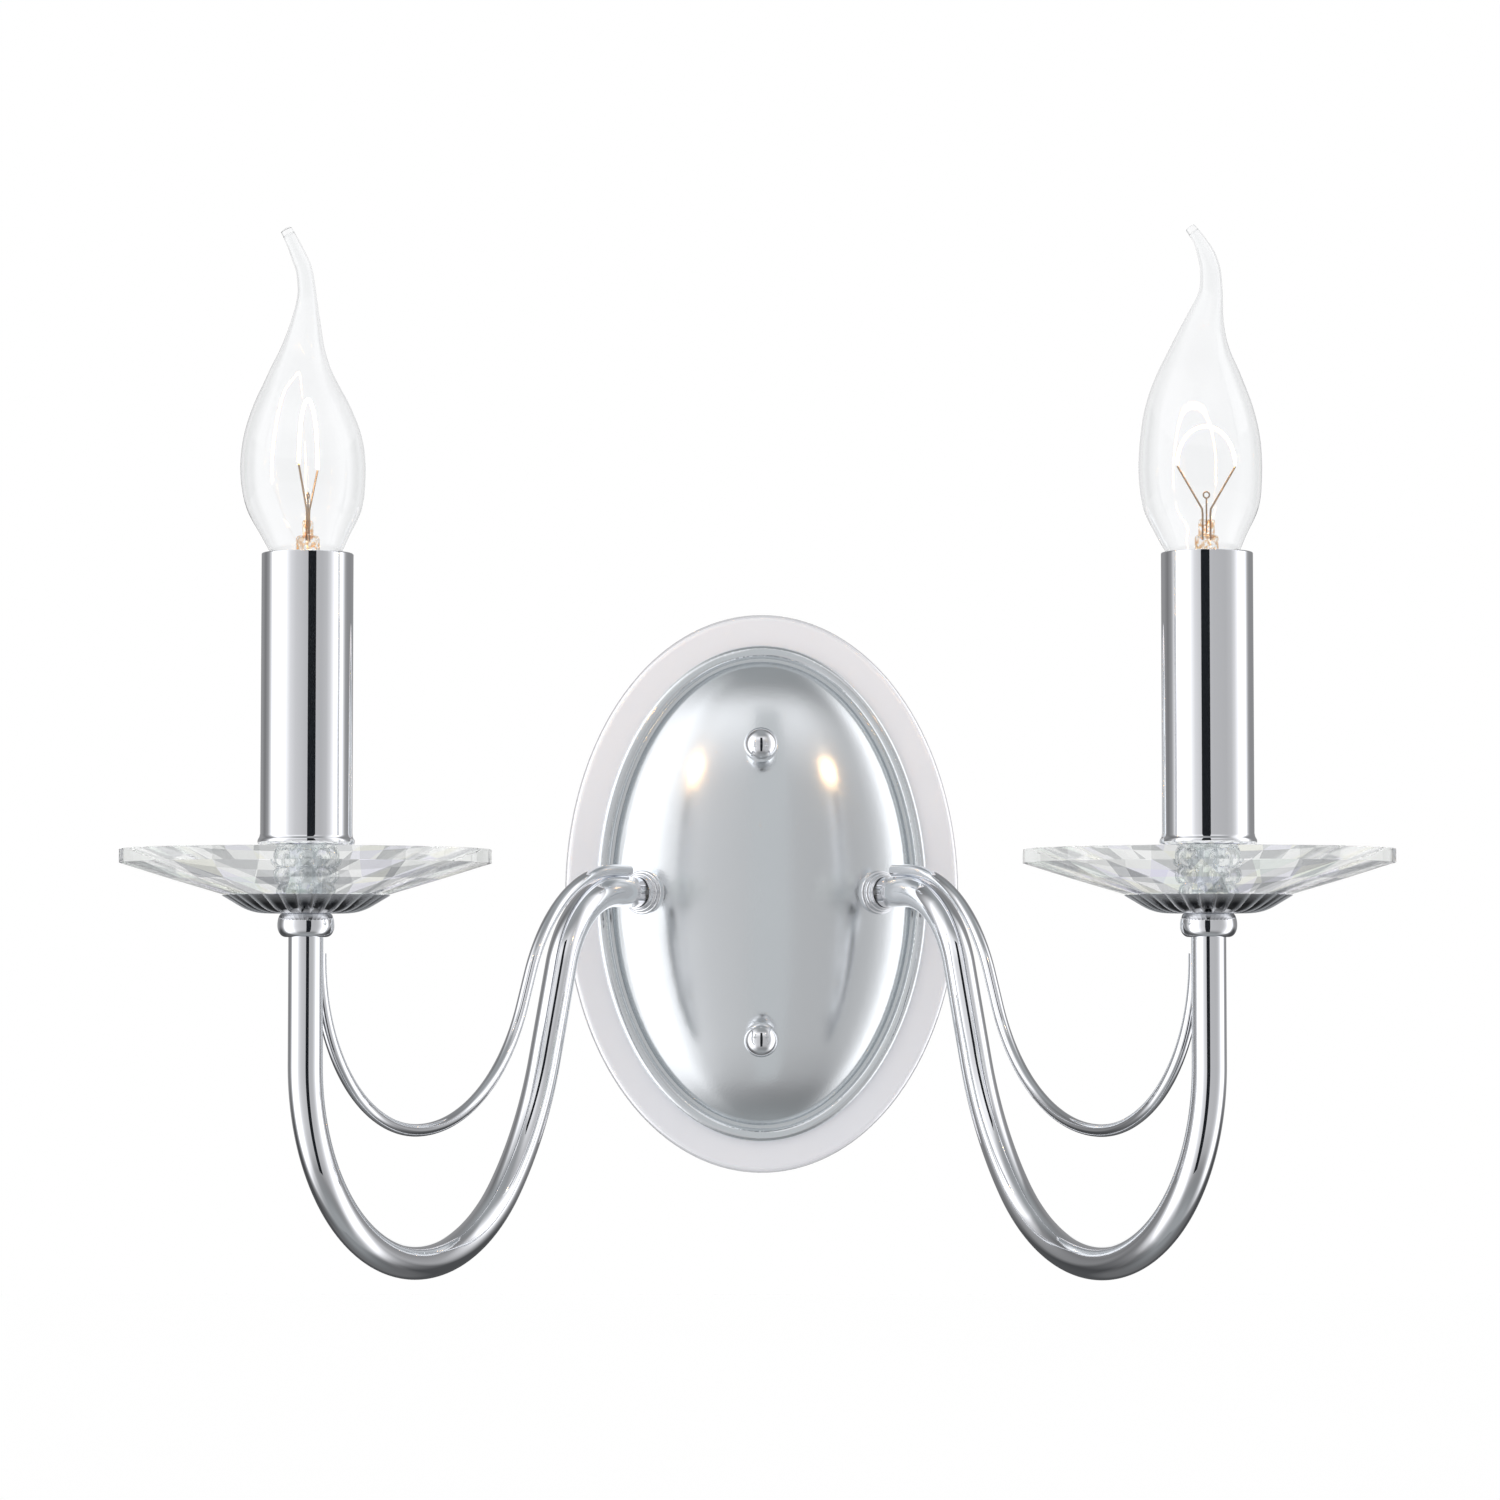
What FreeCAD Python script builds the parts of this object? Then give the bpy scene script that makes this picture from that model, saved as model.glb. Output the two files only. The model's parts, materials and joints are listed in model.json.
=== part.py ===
import FreeCAD, Part
import math
import os

from FreeCAD import Vector

# Double arm wall sconce: an oval canopy on a wall bracket carries two bent arms. Each arm ends in a
# knuckle, a fluted pan, a cut crystal dish and a candle sleeve with a bent-tip candle lamp.
# Millimetres. +Z is up, +X is to the right as seen from the room. The wall is the plane Y = 0, the
# room is on its -Y side, and the origin is the middle of the wall bracket, on the wall.

# Clearances
thread_play = 0.04       # radial play of a thread or a pin in its bore
seat_play = 0.02         # play between two faces that rest on each other
hole_play = 0.3          # radial play of a screw or a tube in a plain hole

# Canopy
dome_width = 98.4        # the dome's outline where it meets its bead
dome_height = 152.2
dome_rise = 18.5         # from that outline to the middle of the dome
dome_sharpness = 7.0     # how far below its outline the dome's ellipsoid is centred
sheet_gauge = 1.0        # pressed sheet of the dome and the plate
bead_width = 5.0
bead_rise = 3.0          # from the plate's face
plate_margin = 15.1      # from the dome's outline to the plate's edge
plate_depth = 6.0        # from the wall to the plate's face
plate_round = 2.0        # rolled edge
plate_lap = 6.0          # how far the plate reaches in under the dome

# Wall bracket and its screws
bracket_width = 20.0
bracket_gauge = 1.8
bracket_step = 5.0       # how far its ends stand off the wall
bracket_end = 9.0        # past the canopy screws
cable_hole_radius = 6.0
wall_screw_spacing = 60.0
wall_slot_length = 12.0
wall_slot_width = 4.5
wall_slot_edge = 2.5     # from a slot to the bend
canopy_screw_spacing = 95.0
canopy_screw_radius = 2.0
screw_head_radius = 3.5
screw_head_height = 2.4
lock_nut_flats = 7.0
lock_nut_height = 3.2
earth_screw_height = 15.0

# Ball nuts on the canopy screws
ball_radius = 5.6
neck_radius = 3.6
neck_height = 2.2
ball_nut_grip = 6.5      # length of screw inside a ball nut

# Terminal block and its clamps
block_width = 20.0
block_depth = 11.0
block_pole = 8.0         # height of one pole
block_poles = 2
block_middle = -15.0     # below the middle of the bracket
clamp_radius = 2.4
clamp_bore_radius = 1.6
clamp_inset = 1.0        # how far a clamp stops short of the block's side
clamp_screw_radius = 1.2
clamp_screw_grip = 1.2   # how far a clamp screw stops short of the wire

# Arms
arm_place = 0.7764       # of the way from the middle of the dome to its side
tube_radius = 5.0
tube_bore_radius = 4.0
tube_tail = 7.0          # length inside the canopy
arm_lead = 17.5          # straight run out of the collar
arm_bend_radius = 34.0
arm_drop_angle = 72.0
arm_drop = 31.0
arm_sweep_radius = 108.0
arm_sweep_angle = 24.0
arm_bowl_radius = 60.0
arm_leg = 36.5           # straight run up to the knuckle

# Accent rods, brazed to the arms at both ends
rod_radius = 1.9
rod_start = 9.5          # from the dome
rod_lead = 8.0
rod_bend_radius = 55.0
rod_drop = 11.0          # straight run between its two sweeps
rod_bowl_radius = 51.0
rod_tail = 1.5
rod_top_gap = 4.66       # from its end up to the knuckle

# Collars, washers and nuts where the arms meet the dome
collar_radius = 7.15
collar_step_radius = 6.3
collar_neck_radius = 5.6
collar_flange = 1.4
collar_step = 1.4
collar_neck = 1.8
arm_washer_radius = 7.5
arm_washer_gauge = 0.8
arm_washer_drop = 0.7    # the hollow of the dome under the washer
arm_nut_flats = 14.0
arm_nut_height = 3.0

# Leads inside the arms
lead_radius = 1.1
lead_spread = 1.4        # from the middle of the tube to each lead
lead_entry_depth = 7.5   # from the wall to the leads at the terminal block
lead_approach = 9.0      # straight run out of the terminal block
lead_turn = 14.0         # from the dome to the bend behind the arm
lead_bend_radius = 4.0

# Knuckle, pan, dish and spool, from the bottom up
knuckle_radius = 8.15
knuckle_foot_radius = 6.2
knuckle_crown_radius = 7.2
knuckle_height = 6.8
pan_radius = 24.0
pan_bowl_radius = 15.5   # where its bottom turns up to its rim
pan_bend_radius = 15.0
pan_rise = 5.1
pan_gauge = 1.3
pan_flutes = 30
flute_start = 8.6        # from the axis
flute_depth = 0.8
flute_share = 0.47       # radius of a flute, of the pitch
dish_radius = 53.2
dish_foot_radius = 8.0
dish_rise = 13.1         # from its foot to its band
dish_band = 3.9
dish_lip = 3.8
dish_floor = 3.0
dish_well_radius = 12.5
dish_bulge = 0.5         # how far its underside swells below a straight cone
dish_facets = 24
crystal_bore_radius = 5.4
spool_height = 14.95
spool_radius = 10.2
spool_waist_radius = 8.8
spool_foot_radius = 6.8
spool_flutes = 12
spool_flute_radius = 1.5
spool_flute_depth = 0.7

# Candle sleeve and its seat
sleeve_radius = 13.2
sleeve_gauge = 0.7
sleeve_length = 83.1
seat_bead_radius = 13.95
seat_bead_height = 3.3
seat_gauge = 1.0
stack_nut_flats = 14.0
stack_nut_height = 3.0

# Lampholder
holder_boss_radius = 8.0
holder_boss_height = 8.0
holder_radius = 11.6
holder_wall = 1.5
holder_chamber = 21.0
holder_floor = 3.5
holder_socket = 30.5     # depth of the socket above the floor
lead_well = 2.0          # how far the leads reach into the floor
shell_gauge = 0.5
shell_length = 20.0
contact_rise = 7.0       # from the socket's floor to the lamp's contact
contact_gauge = 0.4
contact_width = 5.0
contact_reach = 5.0
contact_crown_radius = 2.2

# Lamps
cap_radius = 6.95
cap_gauge = 0.4
cap_height = 20.0
cap_start = 4.0          # from the lamp's contact to the foot of the cap
cap_flare_radius = 7.45
cap_flare_height = 5.0
contact_radius = 2.4
glass_wall = 0.6
glass_sink = 1.5         # how far the glass sits inside the cap
neck_length = 3.0        # straight neck above the cap's rim
leaning_radius = 6.0     # a section that is narrower stands square to the bent tip
solid_sections = 2       # of the tip, where the glass is closed
stem_radius = 3.4
stem_height = 21.8
stem_press_height = 5.0
stem_press_width = 4.6
stem_press_gauge = 2.2
wire_radius = 0.3
lead_wire_rise = 15.0
lead_wire_spread = 8.5
anchor_rise = 7.0
anchor_loop_radius = 0.9
filament_radius = 0.45
filament_arch = 14.0

# The two lamps are drawn by hand and differ. Each section of the glass is its height above the
# cap's rim, its radius and how far it sways to the right. The spin is how far the wires are turned.
lamp_shapes = {
    "left": {"spin": 78, "glass": [
        (12, 8.9, -0.3), (19, 12.1, -0.7), (28, 16.5, -1.1), (38, 18.0, -1.4), (48, 17.2, -1.5),
        (57, 14.3, -1.8), (66, 9.9, -2.2), (74, 6.5, -1.6), (82, 4.3, -0.9), (90, 2.75, -0.6),
        (97, 2.45, -1.4), (101.5, 2.4, -3.1), (105.5, 2.2, -4.9), (108.5, 2.0, -6.3)]},
    "right": {"spin": 8, "glass": [
        (12, 9.1, -0.8), (19, 12.4, -1.5), (28, 16.5, -1.6), (38, 17.7, -1.8), (48, 17.2, -1.8),
        (57, 15.5, -2.1), (66, 12.3, -2.2), (74, 8.6, -1.6), (82, 5.6, -0.2), (90, 3.5, 1.5),
        (97, 2.9, 1.4), (101.5, 2.5, 0.2), (105.5, 1.8, -1.7), (109, 1.5, -4.2)]},
}

sides = {"left": -1, "right": 1}
up = Vector(0, 0, 1)
origin = Vector(0, 0, 0)


# Outlines and bodies

def bent(corners, closed=False):
    """Edges through corners given as (point, radius), with a tangent arc where there is a radius."""
    count = len(corners)
    stops = []
    for index, (point, radius) in enumerate(corners):
        if radius == 0 or (not closed and index in (0, count - 1)):
            stops.append((point, None, point))
            continue
        back = (corners[index - 1][0] - point).normalize()
        ahead = (corners[(index + 1) % count][0] - point).normalize()
        half = back.getAngle(ahead) / 2
        reach = radius / math.tan(half)
        middle = point + (back + ahead).normalize() * (radius / math.sin(half) - radius)
        stops.append((point + back * reach, middle, point + ahead * reach))
    edges = []
    for index, (start, middle, end) in enumerate(stops):
        if middle is not None:
            edges.append(Part.Arc(start, middle, end).toShape())
        if index + 1 < count or closed:
            following = stops[(index + 1) % count][0]
            if end.distanceToPoint(following) > 1e-6:
                edges.append(Part.LineSegment(end, following).toShape())
    return edges


def outline(*corners):
    """Closed wire in the XZ plane. A corner is (radius, height) or (radius, height, rounding)."""
    points = [(Vector(c[0], 0, c[1]), c[2] if len(c) > 2 else 0) for c in corners]
    return Part.Wire(bent(points, closed=True))


def turned(*corners):
    """Solid turned about the Z axis."""
    return Part.Face(outline(*corners)).revolve(origin, up, 360)


def lying(shape):
    """Turns a solid made along Z so that it lies along X."""
    return shape.rotated(origin, Vector(0, 1, 0), 90)


def on_wall(shape):
    """Turns a solid made with Z as its depth from the wall to the model's own axes."""
    return shape.rotated(origin, Vector(1, 0, 0), 90)


def prism(flats, height, bore_radius):
    """Hexagon nut along Z with a plain bore."""
    reach = flats / math.sqrt(3)
    corners = [Vector(reach * math.cos(k * math.pi / 3), reach * math.sin(k * math.pi / 3), 0)
               for k in range(7)]
    nut = Part.Face(Part.makePolygon(corners)).extrude(up * height)
    return nut.cut(Part.makeCylinder(bore_radius, height))


def swept(edges, radius):
    """Round bar along a chain of edges."""
    first = edges[0]
    start = first.valueAt(first.FirstParameter)
    heading = first.tangentAt(first.FirstParameter)
    section = Part.Wire(Part.makeCircle(radius, start, heading))
    return Part.Wire(edges).makePipeShell([section], True, False)


def bend_path(start, steps):
    """Edges of a bar in the XZ plane that sets out along +X, and where it ends. Each step is a
    straight run, then a bend of a radius and an angle, which is positive where it bends down."""
    point = start
    heading = 0.0
    edges = []
    for run, radius, angle in steps:
        if run > 0:
            ahead = point + Vector(math.cos(heading), 0, math.sin(heading)) * run
            edges.append(Part.LineSegment(point, ahead).toShape())
            point = ahead
        if angle == 0:
            continue
        hand = -1 if angle > 0 else 1
        turn = hand * math.radians(abs(angle))
        centre = point + Vector(-math.sin(heading), 0, math.cos(heading)) * radius * hand
        stops = [centre + Vector(math.sin(heading + part), 0, -math.cos(heading + part)) * radius * hand
                 for part in (turn / 2, turn)]
        edges.append(Part.Arc(point, stops[0], stops[1]).toShape())
        point = stops[1]
        heading += turn
    return edges, point


def faceted(count, rings):
    """Solid with flat facets between rings of corners. A ring is (radius, height, lean), and one
    that leans is turned by half a facet."""
    step = 2 * math.pi / count
    loops = [[Vector(r * math.cos((k + lean / 2) * step), r * math.sin((k + lean / 2) * step), z)
              for k in range(count)] for r, z, lean in rings]
    faces = [[*loops[0]], [*loops[-1]]]
    for (low, high, below, above) in zip(loops, loops[1:], rings, rings[1:]):
        for k in range(count):
            following = (k + 1) % count
            if below[2] == above[2]:
                faces.append([low[k], low[following], high[following], high[k]])
            elif above[2] > below[2]:
                faces.append([low[k], low[following], high[k]])
                faces.append([low[following], high[following], high[k]])
            else:
                faces.append([low[k], low[following], high[following]])
                faces.append([low[k], high[following], high[k]])
    shell = Part.Shell([Part.Face(Part.makePolygon(f + f[:1])) for f in faces])
    solid = Part.Solid(shell)
    if solid.Volume < 0:
        solid.reverse()
    return solid


# The canopy, made with X to the right, Y up and Z as the depth from the wall

outline_half_width = dome_width / 2
outline_half_height = dome_height / 2
dome_base = plate_depth + sheet_gauge / 2
dome_depth = dome_rise + dome_sharpness
dome_centre = dome_base - dome_sharpness
dome_spread = 1 / math.sqrt(1 - (dome_sharpness / dome_depth) ** 2)
dome_half_width = outline_half_width * dome_spread
dome_half_height = outline_half_height * dome_spread


def dome_face(x, y):
    """Depth of the dome's outer face from the wall."""
    return dome_centre + dome_depth * math.sqrt(1 - (x / dome_half_width) ** 2 - (y / dome_half_height) ** 2)


def ellipsoid(inset):
    matrix = FreeCAD.Matrix()
    matrix.scale(dome_half_width - inset, dome_half_height - inset, dome_depth - inset)
    matrix.move(Vector(0, 0, dome_centre))
    return Part.makeSphere(1).transformGeometry(matrix)


def oval_ring(*corners):
    """Ring that keeps one section all the way round the dome's outline. A corner is given by its
    distance outside that outline and its depth."""
    section = outline(*[(outline_half_height + c[0],) + tuple(c[1:]) for c in corners])
    path = Part.Wire(Part.Ellipse(origin, outline_half_height, outline_half_width).toShape())
    ring = path.makePipeShell([section], True, True)
    return ring.rotated(origin, up, 90)


arm_spread = arm_place * outline_half_width
arm_seat_depth = dome_face(arm_spread, 0)
arm_angle = math.degrees(math.atan2((arm_seat_depth - dome_centre) / dome_depth ** 2,
                                    arm_spread / dome_half_width ** 2))


def in_arm_frame(shape, side):
    """Moves a piece from an arm's own frame, where X runs out along the arm from the dome's face,
    to the model's axes."""
    turn = -arm_angle if side > 0 else 180 + arm_angle
    moved = shape.rotated(origin, up, turn)
    moved.translate(Vector(side * arm_spread, -arm_seat_depth, 0))
    return moved


def canopy_dome():
    shell = ellipsoid(0).cut(ellipsoid(sheet_gauge))
    front = Part.makeBox(dome_width * 2, dome_height * 2, dome_depth * 2,
                         Vector(-dome_width, -dome_height, dome_base))
    low = plate_depth + seat_play
    flange = low + sheet_gauge
    crown = plate_depth + bead_rise
    inner = sheet_gauge + bead_width * 0.1
    bead = oval_ring(
        (-sheet_gauge, low), (inner, low), (inner, crown - sheet_gauge, 1.2),
        (bead_width - sheet_gauge, crown - sheet_gauge, 1.2), (bead_width - sheet_gauge, low),
        (bead_width, low), (bead_width, crown, 2.0), (inner - sheet_gauge, crown, 2.0),
        (inner - sheet_gauge, flange), (-sheet_gauge, flange))
    dome = on_wall(shell.common(front).fuse(bead).removeSplitter())
    for side in sides.values():
        hole = lying(Part.makeCylinder(tube_radius + hole_play, dome_rise * 2, Vector(0, 0, -dome_rise)))
        dome = dome.cut(in_arm_frame(hole, side))
    for height in (-canopy_screw_spacing / 2, canopy_screw_spacing / 2):
        hole = Part.makeCylinder(canopy_screw_radius + hole_play, dome_depth * 2)
        hole.translate(Vector(0, height, 0))
        dome = dome.cut(on_wall(hole))
    return dome


def back_plate():
    return on_wall(oval_ring(
        (-plate_lap, plate_depth - sheet_gauge), (plate_margin - sheet_gauge, plate_depth - sheet_gauge,
                                                 plate_round - sheet_gauge),
        (plate_margin - sheet_gauge, 0), (plate_margin, 0), (plate_margin, plate_depth, plate_round),
        (-plate_lap, plate_depth)))


# Wall bracket, screws and terminal block, in the same wall frame

bracket_flat = wall_screw_spacing / 2 + wall_slot_length / 2 + wall_slot_edge
bracket_half = canopy_screw_spacing / 2 + bracket_end
bracket_face = bracket_step + bracket_gauge


def slot(length, width, depth, centre):
    """Upright bar with round ends, from the wall out."""
    run = length / 2 - width / 2
    bar = Part.makeBox(width, run * 2, depth, Vector(-width / 2, -run, 0))
    for end in (-run, run):
        bar = bar.fuse(Part.makeCylinder(width / 2, depth, Vector(0, end, 0)))
    bar.translate(centre)
    return bar.removeSplitter()


def wall_bracket():
    ramp_end = bracket_flat + bracket_step
    shift = bracket_gauge * math.tan(math.radians(22.5))
    back = [(-bracket_half, bracket_step), (-ramp_end, bracket_step), (-bracket_flat, 0),
            (bracket_flat, 0), (ramp_end, bracket_step), (bracket_half, bracket_step)]
    front = [(bracket_half, bracket_face), (ramp_end - shift, bracket_face),
             (bracket_flat - shift, bracket_gauge), (shift - bracket_flat, bracket_gauge),
             (shift - ramp_end, bracket_face), (-bracket_half, bracket_face)]
    corners = [Vector(-bracket_width / 2, y, z) for y, z in back + front]
    strip = Part.Face(Part.makePolygon(corners + corners[:1])).extrude(Vector(bracket_width, 0, 0))
    strip = strip.common(slot(bracket_half * 2, bracket_width, bracket_face, origin))
    strip = strip.cut(Part.makeCylinder(cable_hole_radius, bracket_gauge))
    for hand in (-1, 1):
        strip = strip.cut(slot(wall_slot_length, wall_slot_width, bracket_gauge,
                               Vector(0, hand * wall_screw_spacing / 2, 0)))
        strip = strip.cut(Part.makeCylinder(canopy_screw_radius + thread_play, bracket_face,
                                            Vector(0, hand * canopy_screw_spacing / 2, 0)))
    for height, radius in ((earth_screw_height, canopy_screw_radius), (block_middle, clamp_screw_radius)):
        strip = strip.cut(Part.makeCylinder(radius + thread_play, bracket_gauge, Vector(0, height, 0)))
    return on_wall(strip.removeSplitter())


ball_nut_base = dome_face(0, canopy_screw_spacing / 2 - neck_radius) + seat_play
canopy_screw_end = ball_nut_base + ball_nut_grip


def pan_head(radius, length, head_radius, head_height):
    """Screw along Z: its head stands below 0 and its shank runs up."""
    return turned((0, -head_height), (head_radius, -head_height, head_height * 0.5), (head_radius, 0),
                  (radius, 0), (radius, length), (0, length))


def canopy_screws():
    screw = pan_head(canopy_screw_radius, canopy_screw_end - bracket_step + seat_play,
                     screw_head_radius, screw_head_height)
    screw.translate(Vector(0, 0, bracket_step - seat_play))
    return pair_up(screw)


def lock_nuts():
    nut = prism(lock_nut_flats, lock_nut_height, canopy_screw_radius + thread_play)
    nut.translate(Vector(0, 0, bracket_face + seat_play))
    return pair_up(nut)


def pair_up(piece):
    """A copy on each canopy screw's axis."""
    copies = []
    for height in (-canopy_screw_spacing / 2, canopy_screw_spacing / 2):
        copy = piece.copy()
        copy.translate(Vector(0, height, 0))
        copies.append(on_wall(copy))
    return Part.makeCompound(copies)


def ball_nut(hand):
    middle = neck_height + math.sqrt(ball_radius ** 2 - neck_radius ** 2)
    neck = Part.makeCylinder(neck_radius, middle)
    nut = neck.fuse(Part.makeSphere(ball_radius, Vector(0, 0, middle))).removeSplitter()
    nut = nut.cut(Part.makeCylinder(canopy_screw_radius + thread_play, ball_nut_grip + 1))
    nut.translate(Vector(0, hand * canopy_screw_spacing / 2, ball_nut_base))
    return on_wall(nut)


def earth_screw():
    screw = pan_head(canopy_screw_radius, bracket_gauge, screw_head_radius, screw_head_height)
    screw = screw.mirror(origin, up)
    screw.translate(Vector(0, earth_screw_height, bracket_gauge + seat_play))
    return on_wall(screw)


block_low = bracket_gauge + seat_play
block_height = block_pole * block_poles
pole_heights = [block_middle + block_pole * (k - (block_poles - 1) / 2) for k in range(block_poles)]
clamp_length = block_width - 2 * clamp_inset


def terminal_block():
    block = Part.makeBox(block_width, block_height, block_depth,
                         Vector(-block_width / 2, block_middle - block_height / 2, block_low))
    block = block.makeFillet(0.8, [e for e in block.Edges if abs(e.tangentAt(0).z) > 0.9])
    for height in pole_heights:
        bore = lying(Part.makeCylinder(clamp_radius + thread_play, clamp_length))
        bore.translate(Vector(-clamp_length / 2, height, lead_entry_depth))
        mouth = lying(Part.makeCylinder(clamp_bore_radius, block_width))
        mouth.translate(Vector(-block_width / 2, height, lead_entry_depth))
        block = block.cut(bore).cut(mouth)
        for hand in (-1, 1):
            well = Part.makeCylinder(clamp_screw_radius + hole_play, block_depth,
                                     Vector(hand * clamp_length / 4, height, lead_entry_depth))
            block = block.cut(well)
    middle_hole = Part.makeCylinder(clamp_screw_radius + hole_play, block_depth * 2,
                                    Vector(0, block_middle, 0))
    return on_wall(block.cut(middle_hole))


def terminal_clamps():
    clamps = []
    for height in pole_heights:
        clamp = lying(Part.makeCylinder(clamp_radius, clamp_length))
        clamp = clamp.cut(lying(Part.makeCylinder(clamp_bore_radius, clamp_length)))
        clamp.translate(Vector(-clamp_length / 2, height, lead_entry_depth))
        for hand in (-1, 1):
            clamp = clamp.cut(Part.makeCylinder(clamp_screw_radius + thread_play, block_depth,
                                                Vector(hand * clamp_length / 4, height, lead_entry_depth)))
        clamps.append(on_wall(clamp))
    return Part.makeCompound(clamps)


def terminal_screws():
    foot = lead_entry_depth + lead_radius + seat_play
    top = block_low + block_depth - 1
    screws = []
    for height in pole_heights:
        for hand in (-1, 1):
            screws.append(Part.makeCylinder(clamp_screw_radius, top - foot,
                                            Vector(hand * clamp_length / 4, height, foot)))
    fixing = pan_head(clamp_screw_radius, block_low + block_depth, clamp_radius, clamp_screw_radius)
    fixing = fixing.mirror(origin, up)
    fixing.translate(Vector(0, block_middle, block_low + block_depth + seat_play))
    screws.append(fixing)
    return on_wall(Part.makeCompound(screws))


# An arm, in its own frame: X runs out from the dome's face, Z is up

arm_bends = [
    (tube_tail + arm_lead, arm_bend_radius, arm_drop_angle),
    (arm_drop, arm_sweep_radius, -arm_sweep_angle),
    (0, arm_bowl_radius, arm_sweep_angle - arm_drop_angle - 90),
]
arm_edges, leg_foot = bend_path(Vector(-tube_tail, 0, 0), arm_bends)
cup_reach = leg_foot.x
knuckle_low = leg_foot.z + arm_leg

# Heights of the pieces stacked on the leg
knuckle_top = knuckle_low + knuckle_height
pan_low = knuckle_top + seat_play
dish_low = pan_low + pan_gauge + seat_play
spool_low = dish_low + dish_floor + seat_play
seat_low = spool_low + spool_height + seat_play
stack_nut_low = seat_low + seat_gauge + seat_play
holder_low = stack_nut_low + stack_nut_height + seat_play
tube_top = holder_low + holder_boss_height - 1
socket_floor = holder_low + holder_boss_height + holder_wall + holder_chamber + holder_floor
lamp_low = socket_floor + contact_rise
cap_rim = lamp_low + cap_start + cap_height
thread_bore = tube_radius + thread_play

arm_edges.append(Part.LineSegment(leg_foot, Vector(cup_reach, 0, tube_top)).toShape())


def arm_tube(side):
    tube = swept(arm_edges, tube_radius).cut(swept(arm_edges, tube_bore_radius))
    return in_arm_frame(tube, side)


def accent_rod(side):
    """The rod lies on the tube at the dome and stands against the leg below the knuckle. Its slope
    and the radius of its second sweep are the ones that join the two."""
    spacing = tube_radius + rod_radius + seat_play
    reach = cup_reach - spacing - rod_start - rod_lead - rod_bowl_radius
    fall = spacing + rod_bowl_radius + rod_tail + rod_top_gap - knuckle_low
    slope = 2 * math.atan(fall / (reach + rod_drop))
    sweep_radius = (reach - rod_drop * math.cos(slope)) / math.sin(slope) - rod_bend_radius
    edges, end = bend_path(Vector(rod_start, 0, spacing), [
        (rod_lead, rod_bend_radius, math.degrees(slope)),
        (rod_drop, sweep_radius, -math.degrees(slope)),
        (0, rod_bowl_radius, -90)])
    edges.append(Part.LineSegment(end, end + up * rod_tail).toShape())
    return in_arm_frame(swept(edges, rod_radius), side)


def arm_collar(side):
    step = collar_flange + collar_step
    end = step + collar_neck
    collar = lying(turned(
        (thread_bore, -sheet_gauge), (collar_radius, -sheet_gauge), (collar_radius, collar_flange, 0.6),
        (collar_step_radius, collar_flange, 0.2), (collar_step_radius, step, 0.5),
        (collar_neck_radius, step, 0.2), (collar_neck_radius, end, 0.3), (thread_bore, end)))
    return in_arm_frame(collar, side).cut(on_wall(ellipsoid(-seat_play)))


def arm_washer(side):
    face = -sheet_gauge - arm_washer_drop
    washer = lying(turned((thread_bore, face - arm_washer_gauge), (arm_washer_radius, face - arm_washer_gauge),
                          (arm_washer_radius, face), (thread_bore, face)))
    return in_arm_frame(washer, side)


def arm_nut(side):
    nut = prism(arm_nut_flats, arm_nut_height, thread_bore)
    nut.translate(Vector(0, 0, -sheet_gauge - arm_washer_drop - arm_washer_gauge - seat_play - arm_nut_height))
    return in_arm_frame(lying(nut), side)


def arm_leads(side):
    """Two leads from the terminal block through the arm to the lampholder."""
    leads = []
    tail = Vector(-tube_tail, 0, 0)
    for hand, height in zip((-1, 1), pole_heights):
        aside = Vector(0, hand * side * lead_spread, 0)
        inside = [in_arm_frame(edge.translated(aside), side) for edge in arm_edges]
        entry = Vector(side * clamp_length / 2, -lead_entry_depth, height)
        corner = entry + Vector(side * lead_approach, 0, 0)
        turn = in_arm_frame(Part.Vertex(Vector(-lead_turn, 0, 0) + aside), side).Point
        mouth = in_arm_frame(Part.Vertex(tail + aside), side).Point
        start = entry - Vector(side * (clamp_length / 4 + clamp_screw_radius * 2), 0, 0)
        approach = bent([(start, 0), (corner, lead_bend_radius), (turn, lead_bend_radius), (mouth, 0)])
        head = inside[-1].Vertexes[-1].Point
        end = socket_floor - holder_floor + lead_well
        rise = Part.LineSegment(head, Vector(head.x, head.y, end - seat_play)).toShape()
        leads.append(swept(approach + inside + [rise], lead_radius))
    return Part.makeCompound(leads)


# Pieces stacked on the leg, made about the Z axis at their real height

def knuckle():
    return turned(
        (thread_bore, knuckle_low), (knuckle_foot_radius, knuckle_low),
        (knuckle_radius, knuckle_low + 1.8, 2.0), (knuckle_radius, knuckle_top - 1.5, 2.0),
        (knuckle_crown_radius, knuckle_top, 0.2), (thread_bore, knuckle_top))


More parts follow.
